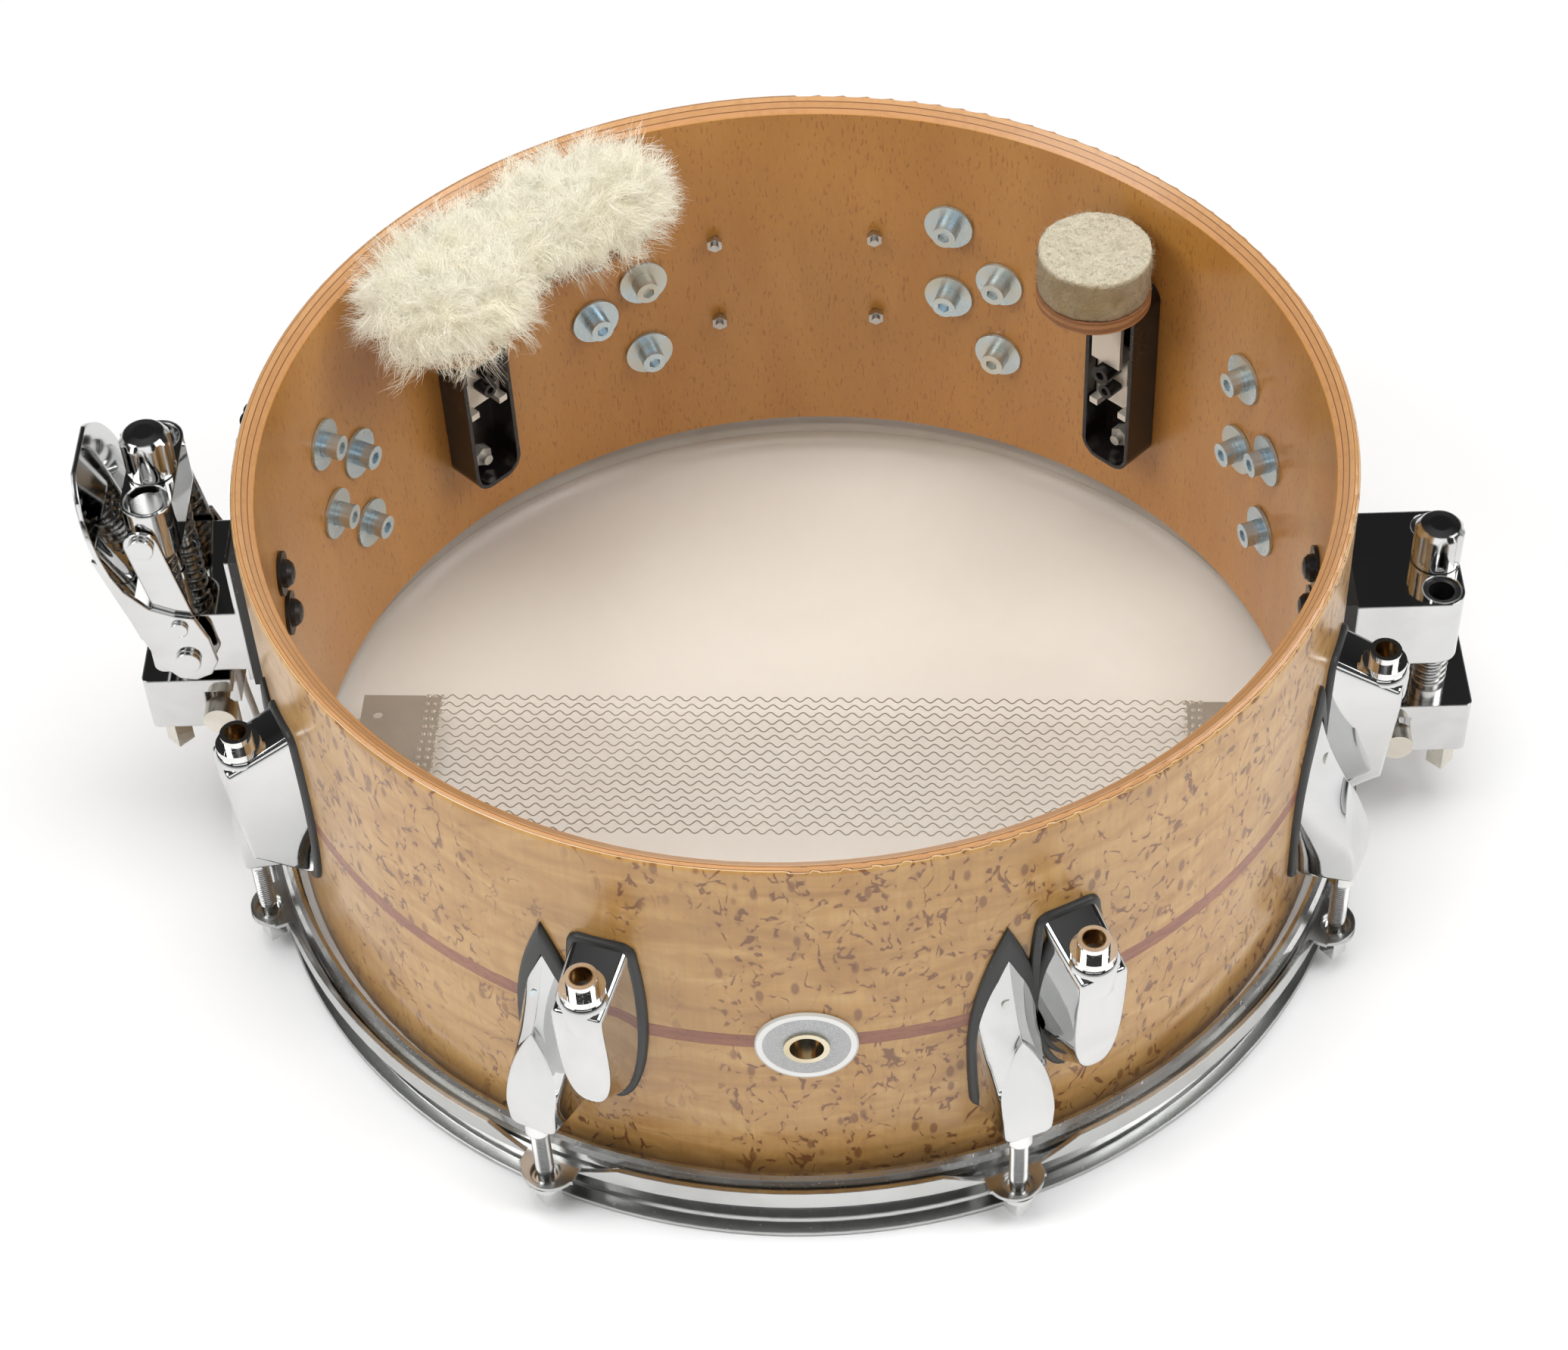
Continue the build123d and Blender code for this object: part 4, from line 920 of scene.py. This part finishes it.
# --- Sub-assemblies ----------------------------------------------------------------------
@dataclass
class Assembly:
    """A group of CAD nodes and made pieces that are dressed together."""

    effects: Effects
    title: str = "assembly"
    nodes: dict[str, Finish] = field(default_factory=dict)

    def build(self) -> None:
        """Make the pieces that the CAD leaves plain."""

    def dress(self) -> None:
        """Give every CAD node of the group its finish."""
        for name, finish in self.nodes.items():
            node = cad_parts[name]
            finish.dress(node, self.effects)
            LOG.info("%s: %s in %s", self.title, name, finish.name)

    def place(
        self, piece: bpy.types.Object, body: Body, slot: Slot, finish: Finish, *replaced: str
    ) -> None:
        """Finish a made piece and tie it to its body.

        Args:
            piece: The piece.
            body: The body it rides on.
            slot: The record's material slot; not used.
            finish: Its finish.
            replaced: CAD nodes that it stands for.
        """
        finish.dress(piece, self.effects)
        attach(piece, body.value)
        if replaced:
            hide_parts(*replaced)
        LOG.info("%s: made %s", self.title, piece.name)


@dataclass
class Shell(Assembly):
    """The wooden shell with its inlay, vent, badge and nameplate."""

    title: str = "shell"

    def __post_init__(self) -> None:
        """Choose the finishes."""
        low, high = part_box("vent_badge")
        badge = BadgeEnamel("BadgeEnamel", (low.z + high.z) / 2, 0.0132, (high.z - low.z) / 2 - 0.0005)
        self.nodes = {
            "shell": ShellWood(), "inlay_band": INLAY, "vent_badge": badge, "vent_grommet": NICKEL,
            "rear_nameplate": NAMEPLATE, "nameplate_studs": BRIGHT_STEEL,
        }


@dataclass
class SnareSide(Assembly):
    """The head, its hoops, the rods and the lugs."""

    title: str = "snare side"

    def __post_init__(self) -> None:
        """Choose the finishes."""
        self.nodes = {
            "snare_head_film": HeadFilm(), "snare_head_flesh_hoop": SATIN_RING, "snare_side_hoop": HOOP_CHROME,
            "tension_rod_washers": BRIGHT_STEEL, "swivel_nuts": BATTER_NUTS, "lug_screws": ZINC, "lug_washers": ZINC,
        }
        for number in range(1, 9):
            self.nodes[f"tension_rod_{number}"] = ROD_STEEL


@dataclass
class Lugs(Assembly):
    """Smooth cast lugs of both kinds, each on its rubber pad."""

    title: str = "lugs"
    count: int = 8
    first: float = 22.5
    shift: float = 3.3
    circle_r: float = 0.1928
    shell_r: float = 0.1775
    rings: int = 16
    side_points: int = 30
    keel_face: float = 0.1978
    keel_turn: float = 0.35
    keel_ridge: float = 0.30
    boot_face: float = 0.2001
    pad_overhang: float = 0.0017
    pad_inset: float = 0.0012
    crease: float = 38.0

    def _outline(
        self, low: float, high: float, half: Callable[[float], float], low_round: float,
        high_round: float
    ) -> np.ndarray:
        """Closed outline seen from the front.

        Args:
            low: Height of the bottom.
            high: Height of the top.
            half: Half width at a share of the height.
            low_round: Radius of the bottom corners.
            high_round: Radius of the top corners.

        Returns:
            Points of (y, z), down one side and up the other.
        """
        shares = (1 + np.cos(np.linspace(0, math.pi, self.side_points))) / 2
        side = []
        for share in shares:
            z = low + (high - low) * share
            width = half(float(share))
            for corner, gap in ((low_round, z - low), (high_round, high - z)):
                if corner and gap < corner:
                    width -= corner - math.sqrt(max(corner**2 - (corner - gap) ** 2, 0.0))
            side.append((max(width, 0.00005), z))
        right = np.array(side)
        left = right[::-1] * np.array([-1.0, 1.0])
        return np.concatenate([right, left])

    def _keel(self, depth: float, grow: float = 0.0) -> np.ndarray:
        """Outline of the pointed lug at a depth from 0 at the shell to 1 at the face."""
        low = 0.0460 + 0.0022 * depth - grow
        high = 0.1212 - 0.0330 * depth + grow * 3.4
        widest = 0.0106 - 0.0022 * depth**1.3 + grow

        def half(share: float) -> float:
            """Half width of the pointed arch."""
            if share > 0.36:
                return widest * (1 - ((share - 0.36) / 0.64) ** 2)
            return widest * (1 - 0.10 * ((0.36 - share) / 0.36) ** 2)

        return self._outline(low, high, half, 0.0024 + grow, 0.0)

    def _boot(self, depth: float, grow: float = 0.0) -> np.ndarray:
        """Outline of the square-topped lug at a depth from 0 at the shell to 1 at the face."""
        low = 0.0530 + 0.0190 * depth - grow
        high = 0.1262 - 0.0072 * depth + grow
        widest = 0.0106 - 0.0026 * depth + grow
        narrow = 0.18 - 0.16 * depth
        power = 2.0 + 0.7 * depth

        def half(share: float) -> float:
            """Half width: narrowed at the top, a rounded toe below."""
            if share > 0.62:
                return widest * (1 - narrow * ((share - 0.62) / 0.38) ** 2)
            return widest * (1 - ((0.62 - share) / 0.62) ** power) ** (1 / power)

        return self._outline(low, high, half, 0.0, 0.0022 + grow)

    def _wedge(self, z: np.ndarray) -> np.ndarray:
        """Share of the full depth at a height: thin at the point, full at the foot."""
        return np.clip((0.1215 - z) / 0.0620, 0.02, 1.0) ** 0.75

    def _slope(self, z: np.ndarray) -> np.ndarray:
        """Share of the full depth at a height: full at the crown, less at the toe."""
        return 0.845 + 0.155 * np.clip((z - 0.070) / 0.042, 0.0, 1.0)

    def _cast(
        self, outline: Callable[[float], np.ndarray], profile: Callable[[np.ndarray], np.ndarray],
        face: float, edge: float, crown: float
    ) -> MeshData:
        """Loft a lug from the shell to its face, round its edge and close it.

        Args:
            outline: Outline at a depth.
            profile: Share of the full depth at a height.
            face: Distance of the face from the drum's axis.
            edge: Radius of the edge round the face.
            crown: How far the middle of the face stands out.

        Returns:
            The vertices and the faces.
        """
        base = self.shell_r + 0.0006
        loops = []
        for depth in np.linspace(0, 1, self.rings):
            points = outline(float(depth))
            x = base + (face - edge - base) * depth
            loops.append(np.column_stack([np.full(len(points), x), points]))
        last = outline(1.0)
        middle = np.array([0.0, (last[:, 1].max() + last[:, 1].min()) / 2])
        size = np.array([last[:, 0].max(), (last[:, 1].max() - last[:, 1].min()) / 2])
        for step in range(1, 6):
            turn = math.radians(18 * step)
            inset = edge * (1 - math.cos(turn))
            points = middle + (last - middle) * (1 - inset / size)
            loops.append(
                np.column_stack([np.full(len(points), face - edge + edge * math.sin(turn)), points])
            )
        inner = loops[-1][:, 1:]
        for share in (0.8, 0.5, 0.2):
            points = middle + (inner - middle) * share
            loops.append(np.column_stack([np.full(len(points), face + crown * (1 - share**2)), points]))
        around = len(last)
        vertices = np.concatenate(loops + [np.array([[face + crown, *middle]])])
        vertices[:, 0] = base + (vertices[:, 0] - base) * profile(vertices[:, 2])
        faces = bands(len(loops), around, flip=True)
        start = (len(loops) - 1) * around
        for j in range(around):
            faces.append((start + j, len(vertices) - 1, start + (j + 1) % around))
        return vertices, faces

    def _crest(self, vertices: np.ndarray) -> None:
        """Fold the pointed lug's upper face into a ridge that fades out below.

        Args:
            vertices: The casting's vertices, changed in place.
        """
        upper = np.clip((vertices[:, 2] - 0.060) / 0.030, 0.0, 1.0)
        depth = np.clip((vertices[:, 0] - self.shell_r) / 0.0100, 0.0, 1.0)
        vertices[:, 0] -= self.keel_ridge * np.abs(vertices[:, 1]) * upper * depth

    def _crown(self) -> MeshData:
        """Round post of the square-topped lug, which carries the nut."""
        profile = [
            (
                0.0030, 0.0990
            ), (0.0060, 0.1050), (0.0079, 0.1112), (0.0081, 0.1165), (0.0080, 0.1195), (0.0076, 0.1208),
            (0.0071, 0.1214), (0.0066, 0.1214), (0.0064, 0.1210),
        ]
        sides = 48
        vertices = []
        for radius, z in profile:
            for j in range(sides):
                turn = 2 * math.pi * j / sides
                vertices.append((self.circle_r + radius * math.cos(turn), radius * math.sin(turn), z))
        return np.array(vertices), bands(len(profile), sides)

    def _pad(self, outline: np.ndarray, inner: np.ndarray) -> MeshData:
        """Rubber pad wrapped on the shell, with a rounded rim.

        Args:
            outline: The pad's outline.
            inner: An outline inside the lug's base.

        Returns:
            The vertices and the faces.
        """
        loops = []
        for share, radius in (
            (0.0, -0.0002), (0.0, 0.0010), (0.12, 0.0017), (0.35, 0.0021), (1.0, 0.0021)
        ):
            points = outline + (inner - outline) * share
            depth = np.sqrt((self.shell_r + radius) ** 2 - points[:, 0] ** 2)
            loops.append(np.column_stack([depth, points]))
        return np.concatenate(loops), bands(len(loops), len(outline), flip=True)

    def _ring(
        self, name: str, parts: list[MeshData], shift: float, finish: Finish, slot: Slot, node: str
    ) -> None:
        """Repeat parts round the drum as one piece.

        Args:
            name: The piece's name.
            parts: Vertices and faces of one lug.
            shift: Its turn from the lug's pitch line, in degrees.
            finish: The finish.
            slot: The material slot.
            node: The CAD node that it stands for.
        """
        copies = []
        for number in range(self.count):
            angle = math.radians(self.first + 360 / self.count * number + shift)
            turn = np.array(
                [
                    [math.cos(angle), -math.sin(angle), 0.0], [math.sin(angle), math.cos(angle), 0.0],
                    [0.0, 0.0, 1.0]
                ]
            )
            copies += [(vertices @ turn.T, faces) for vertices, faces in parts]
        piece = mesh_piece(name, *join_rings(copies))
        piece.data.set_sharp_from_angle(angle=math.radians(self.crease))
        self.place(piece, Body.DRUM, slot, finish, node)

    def build(self) -> None:
        """Make both rings of lugs and their pads."""
        keel = [self._cast(self._keel, self._wedge, self.keel_face, 0.0012, 0.0004)]
        self._crest(keel[0][0])
        boot = [self._cast(self._boot, self._slope, self.boot_face, 0.0013, 0.0003), self._crown()]
        self._ring(
            "snare_lug_castings", keel, self.keel_turn - self.shift, LUG_CHROME, Slot.CHROME,
            "snare_lugs"
        )
        self._ring("batter_lug_castings", boot, self.shift, LUG_CHROME, Slot.CHROME, "batter_lugs")
        keel_pad = [self._pad(self._keel(0.0, self.pad_overhang), self._keel(0.1, -self.pad_inset))]
        boot_pad = [self._pad(self._boot(0.0, self.pad_overhang), self._boot(0.1, -self.pad_inset))]
        self._ring(
            "snare_lug_pads", keel_pad, self.keel_turn - self.shift, RUBBER, Slot.RUBBER,
            "snare_lug_gaskets"
        )
        self._ring("batter_lug_pads", boot_pad, self.shift, RUBBER, Slot.RUBBER, "batter_lug_gaskets")


@dataclass
class Strainer(Assembly):
    """The throw-off on one side and the butt end on the other."""

    title: str = "strainer"

    def __post_init__(self) -> None:
        """Choose the finishes."""
        chromed = (
            "throw_off_housing", "throw_off_lever", "throw_off_carriage", "throw_off_knob", "throw_off_links",
            "throw_off_lever_pins", "throw_off_snare_block", "butt_housing", "butt_knob", "butt_snare_block",
        )
        self.nodes = {name: CHROME for name in chromed}
        self.nodes |= {
            "throw_off_springs": BRIGHT_STEEL, "butt_springs": BRIGHT_STEEL,
            "throw_off_guide_posts": BRIGHT_STEEL, "butt_guide_posts": BRIGHT_STEEL,
            "throw_off_gasket": RUBBER, "butt_gasket": RUBBER, "butt_bushes": BUSHING,
            "anchor_screws": BLACK_OXIDE, "throw_off_clamp_screws": CLAMP, "butt_clamp_screws": CLAMP,
        }


@dataclass
class SnareWires(Assembly):
    """Coiled strands soldered to two end plates, and their cords."""

    title: str = "snare wires"
    strands: int = 18
    coil_pitch: float = 0.0058
    wire_r: float = 0.00024
    steps: int = 10

    def __post_init__(self) -> None:
        """Choose the finishes."""
        self.nodes = {"snare_end_plates": END_PLATE, "snare_cords": CORD}

    def _lines(self) -> list[tuple[np.ndarray, np.ndarray]]:
        """Ends of every strand, read from the CAD solids."""
        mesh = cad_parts["snare_strands"].data
        points = np.array([v.co[:] for v in mesh.vertices])
        middle = points.mean(axis=0)
        far = points[points[:, 0] > middle[0] + 0.1]
        near = points[points[:, 0] < middle[0] - 0.1]
        slope = (far[:, 1].mean() - near[:, 1].mean()) / (far[:, 0].mean() - near[:, 0].mean())
        along = np.array([1.0, slope, 0.0]) / math.hypot(1.0, slope)
        across = np.array([-along[1], along[0], 0.0])
        offset = (points - middle) @ across
        reach = (points - middle) @ along
        radius = (points[:, 2].max() - points[:, 2].min()) / 2
        first, last = offset.min() + radius, offset.max() - radius
        lines = []
        for number in range(self.strands):
            start = middle + across * (first + (last - first) * number / (self.strands - 1))
            lines.append((start + along * reach.min(), start + along * reach.max()))
        self.radius = radius
        self.along = along
        self.across = across
        return lines

    def build(self) -> None:
        """Coil each strand and set the solder beads."""
        draw = np.random.default_rng(11)
        coils = []
        beads = []
        for start, end in self._lines():
            length = float(np.linalg.norm(end - start))
            turns = length / self.coil_pitch
            count = int(turns * self.steps)
            share = np.linspace(0.0, 1.0, count)
            angle = share * turns * 2 * math.pi + draw.uniform(0, 6.28)
            reach = self.radius - self.wire_r - 0.00005
            settle = np.clip(np.minimum(share, 1 - share) * length / 0.006, 0.15, 1.0)
            path = start + np.outer(share, end - start)
            path = path + np.outer(np.cos(angle) * reach * settle, self.across)
            path[:, 2] += np.sin(angle) * reach * 0.8 * settle
            coils.append(tube_rings(path, np.full(count, self.wire_r), 5))
            for tip, inward in ((start, 1.0), (end, -1.0)):
                for column in (0.0016, 0.0042, 0.0068):
                    spot = tip + self.along * inward * (column + draw.uniform(-0.0004, 0.0004))
                    beads.append(self._bead(spot, draw))
        wires = mesh_piece("snare_coils", *join_rings(coils))
        self.place(wires, Body.DRUM, Slot.WIRE, WIRE, "snare_strands")
        solder = mesh_piece("solder_beads", *join_rings(beads))
        self.place(solder, Body.DRUM, Slot.WIRE, SOLDER)

    def _bead(self, spot: np.ndarray, draw: np.random.Generator) -> MeshData:
        """One flattened drop of solder.

        Args:
            spot: Its centre.
            draw: The random source.

        Returns:
            The vertices and the faces.
        """
        rings, sides = 5, 8
        size = np.array([draw.uniform(0.0008, 0.0012), draw.uniform(0.0009, 0.0012), self.radius * 0.85])
        vertices = [spot + size * np.array([0.0, 0.0, -1.0])]
        for i in range(1, rings):
            tilt = math.pi * i / rings
            for j in range(sides):
                turn = 2 * math.pi * j / sides
                direction = np.array(
                    [math.sin(tilt) * math.cos(turn), math.sin(tilt) * math.sin(turn), -math.cos(tilt)]
                )
                vertices.append(spot + size * direction)
        vertices.append(spot + size * np.array([0.0, 0.0, 1.0]))
        faces: list[tuple[int, ...]] = []
        for j in range(sides):
            k = (j + 1) % sides
            faces.append((0, 1 + k, 1 + j))
            for i in range(rings - 2):
                faces.append(
                    (
                        1 + i * sides + j, 1 + i * sides + k, 1 + (i + 1) * sides + k,
                        1 + (i + 1) * sides + j
                    )
                )
            faces.append((1 + (rings - 2) * sides + j, 1 + (rings - 2) * sides + k, len(vertices) - 1))
        return np.array(vertices), faces


@dataclass
class Dampers(Assembly):
    """The felt damper and the sheepskin damper on their rails."""

    title: str = "dampers"
    locks: int = 1500
    hairs_per_lock: int = 15
    hair_steps: int = 5

    def __post_init__(self) -> None:
        """Choose the finishes."""
        self.nodes = {
            "damper_rails": BLACK_RAIL, "damper_rail_bolts": PLAIN_ZINC, "felt_slide": PLAIN_ZINC,
            "fleece_slide": PLAIN_ZINC, "felt_bracket": PLAIN_ZINC, "fleece_bracket": PLAIN_ZINC,
            "felt_screws": BLACK_OXIDE, "fleece_screws": BLACK_OXIDE, "felt_plate": PLYWOOD, "fleece_plate": PLYWOOD,
        }

    def build(self) -> None:
        """Make the felt disc and the sheepskin."""
        self._felt()
        self._sheepskin()

    def _felt(self) -> None:
        """A pressed felt disc with softened edges and loose hairs."""
        low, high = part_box("felt_pad")
        centre = (low + high) / 2

        def shape(point: Vector) -> Vector:
            """Dent the surface a little, as pressed felt is."""
            lump = noise.noise(point * 160.0) * 0.00035 + noise.noise(point * 520.0) * 0.00016
            out = (point - centre).normalized()
            return point + out * lump

        pad = remeshed("felt_pad", "felt_disc", 0.0009, shape)
        # The third colour is painted shade: the disc's side below its top is a darker brown, as if in shade.
        finish = Fibrous(
            "PressedFelt", (0.80, 0.72, 0.52), (0.58, 0.49, 0.31), (0.42, 0.275, 0.075),
            scale=1.0, depth=0.00035, shaded_side_below=high.z - 0.0011, sheen=0.5,
        )
        self.place(pad, Body.FELT, Slot.FELT, finish, "felt_pad")
        fuzz = self._hairs(pad, "felt_hairs", 900, 3, 0.0012, 0.00003, 0.8, 23)
        self.place(fuzz, Body.FELT, Slot.FELT, finish)

    def _sheepskin(self) -> None:
        """A sheepskin pad with wool in locks."""
        low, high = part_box("fleece_pad")
        middle = (low + high) / 2

        def shape(point: Vector) -> Vector:
            """Raise soft lumps on the skin and round its rim."""
            lump = noise.noise(point * 75.0) * 0.0022 + noise.noise(point * 210.0) * 0.0009
            out = point - middle
            out.z *= 2.0
            out.normalize()
            inward = 0.0042
            return point + out * (lump - inward)

        pad = remeshed("fleece_pad", "sheepskin_pad", 0.0021, shape)
        # The darker side colour along the bottom is painted shade, and the emission is a painted glow that brightens
        # the wool.
        finish = Fibrous(
            "SheepWool", (0.93, 0.90, 0.79), (0.90, 0.84, 0.64), (0.90, 0.86, 0.74),
            scale=0.35, depth=0.0, shaded_side_below=low.z + 0.002, sheen=0.3, painted_glow=0.12,
        )
        self.place(pad, Body.FLEECE, Slot.WOOL, finish, "fleece_pad")
        wool = self._hairs(
            pad, "sheepskin_wool", self.locks, self.hairs_per_lock, 0.0088, 0.00010, 0.60, 31
        )
        self.place(wool, Body.FLEECE, Slot.WOOL, finish)

    def _hairs(
        self, pad: bpy.types.Object, name: str, locks: int, per_lock: int, length: float, thick: float,
        spread: float, seed: int
    ) -> bpy.types.Object:
        """Grow curved hairs in locks over a pad.

        Args:
            pad: The pad they grow on.
            name: The new piece's name.
            locks: How many locks.
            per_lock: Hairs in each lock.
            length: The hairs' length, in metres.
            thick: Their root radius, in metres.
            spread: How far hairs lean from the pad's normal.
            seed: The random seed.

        Returns:
            The hairs as one mesh.
        """
        draw = np.random.default_rng(seed)
        mesh = pad.data
        areas = np.array([p.area for p in mesh.polygons])
        centres = np.array([p.center[:] for p in mesh.polygons])
        normals = np.array([p.normal[:] for p in mesh.polygons])
        weight = areas * np.clip(normals[:, 2] + 0.75, 0.0, 1.0)
        roots = draw.choice(len(areas), size=locks, p=weight / weight.sum())
        parts = []
        steps = np.linspace(0.0, 1.0, self.hair_steps)
        for root in roots:
            normal = normals[root]
            lean = draw.normal(0, spread, 3)
            lean -= normal * (lean @ normal)
            tip = centres[root] + (normal + lean) * length * draw.uniform(0.75, 1.15)
            curl = draw.normal(0, 1, 3) * length * 0.16
            for _ in range(per_lock):
                spot = centres[root] + draw.normal(0, length * 0.26, 3)
                spot -= normal * ((spot - centres[root]) @ normal)
                end = tip + draw.normal(0, length * 0.17, 3)
                bend = curl + draw.normal(0, length * 0.05, 3)
                wave = np.sin(steps * math.pi)[:, None] * bend + np.sin(
                    steps * 2 * math.pi
                )[:, None] * bend[[1, 2, 0]] * 0.5
                path = spot + np.outer(steps, end - spot) + wave
                parts.append(tube_rings(path, thick * (1.0 - 0.75 * steps), 3))
        return mesh_piece(name, *join_rings(parts))


# --- Studio ------------------------------------------------------------------------------
@dataclass
class Studio:
    """Floor, soft lights and camera."""

    eye: tuple[float, float, float] = (0.018563, -0.749825, 0.863307)
    tilt: float = 42.93
    roll: float = -3.117
    heading: float = 1.9335
    lens: float = 74.3
    floor_color: Color = (0.93, 0.93, 0.93)

    def floor(self) -> None:
        """A wide pale floor just under the drum."""
        size = 6.0
        low = CAD_BOX[0].z - 0.0002
        plane = mesh_piece(
            "studio_floor",
            [(-size, -size, low), (size, -size, low), (size, size, low), (-size, size, low)],
            [(0, 1, 2, 3)]
        )
        made = bpy.data.materials.new("StudioFloor")
        made.use_nodes = True
        shader = made.node_tree.nodes["Principled BSDF"]
        tree = Tree(made.node_tree)
        mottle = tree.noise(tree.coords(), 6.0, 2.0)
        tree.feed(shader.inputs["Base Color"], tree.mix(mottle, self.floor_color, (0.95, 0.95, 0.95)))
        shader.inputs["Roughness"].default_value = 0.8
        plane.data.materials.append(made)

    def light(
        self, name: str, place: Sequence[float], size: tuple[float, float], power: float,
        mirrored: bool = True
    ) -> None:
        """Add a soft box that points at the drum.

        Args:
            name: The light's name.
            place: Where it stands.
            size: Its width and height, in metres.
            power: Its power, in watts.
            mirrored: Whether polished metal shows it.
        """
        data = bpy.data.lights.new(name, "AREA")
        data.shape = "RECTANGLE"
        data.size, data.size_y = size
        data.energy = power
        lamp = bpy.data.objects.new(name, data)
        lamp.location = place
        lamp.visible_glossy = mirrored
        aim = Vector((0.0, 0.0, 0.08)) - Vector(place)
        lamp.rotation_euler = aim.to_track_quat("-Z", "Y").to_euler()
        bpy.context.scene.collection.objects.link(lamp)

    def world(self) -> None:
        """Pale near the floor and nearly black above, for the chrome to mirror."""
        world = bpy.data.worlds.new("StudioRoom")
        bpy.context.scene.world = world
        world.use_nodes = True
        world.node_tree.nodes.clear()
        tree = Tree(world.node_tree)
        _, _, z = tree.axes(tree.add("TexCoord").outputs["Generated"])
        height = tree.ramp(
            z,
            [
                (0.0, (0.70, 0.70, 0.70)), (0.08, (0.50, 0.50, 0.50)), (0.20, (0.05, 0.05, 0.05)),
                (0.70, (0.02, 0.02, 0.02)), (1.0, (0.10, 0.10, 0.10))
            ]
        )
        back = tree.add("Background")
        tree.feed(back.inputs["Color"], height)
        back.inputs["Strength"].default_value = 1.0
        tree.feed(tree.add("OutputWorld").inputs["Surface"], back.outputs[0])

    def camera(self) -> None:
        """Set the camera."""
        data = bpy.data.cameras.new("StudioCamera")
        data.lens = self.lens
        data.sensor_width = 36.0
        data.clip_start = 0.01
        camera = bpy.data.objects.new("StudioCamera", data)
        turn = Matrix.Rotation(
            math.radians(self.heading), 4, "Z"
        ) @ Matrix.Rotation(math.radians(self.tilt), 4, "X")
        turn = turn @ Matrix.Rotation(math.radians(self.roll), 4, "Z")
        camera.matrix_world = Matrix.Translation(self.eye) @ turn
        bpy.context.scene.collection.objects.link(camera)
        bpy.context.scene.camera = camera

    def build(self) -> None:
        """Set up the whole studio."""
        bpy.context.scene.view_settings.view_transform = "Standard"
        self.floor()
        self.world()
        self.light("key_left", (-1.5, -0.5, 1.5), (1.2, 1.2), 20.0)
        self.light("key_right", (1.6, -0.3, 1.4), (1.2, 1.2), 20.0)
        self.light("fill_front", (0.0, -2.1, 1.5), (2.6, 1.0), 10.0)
        self.light("top_soft", (0.0, -0.2, 2.4), (1.8, 1.2), 42.0, mirrored=False)
        self.camera()


def main() -> None:
    """Build the studio and every sub-assembly in order."""
    logging.basicConfig(level=logging.INFO, format="%(name)s %(message)s")
    effects = Effects()
    Studio().build()
    assemblies: list[Assembly] = [
        Shell(effects), SnareSide(effects), Lugs(effects), Strainer(effects), SnareWires(effects),
        Dampers(effects)
    ]
    for assembly in assemblies:
        assembly.dress()
        assembly.build()
        LOG.info("%s finished", assembly.title)


if __name__ == "__main__":
    main()
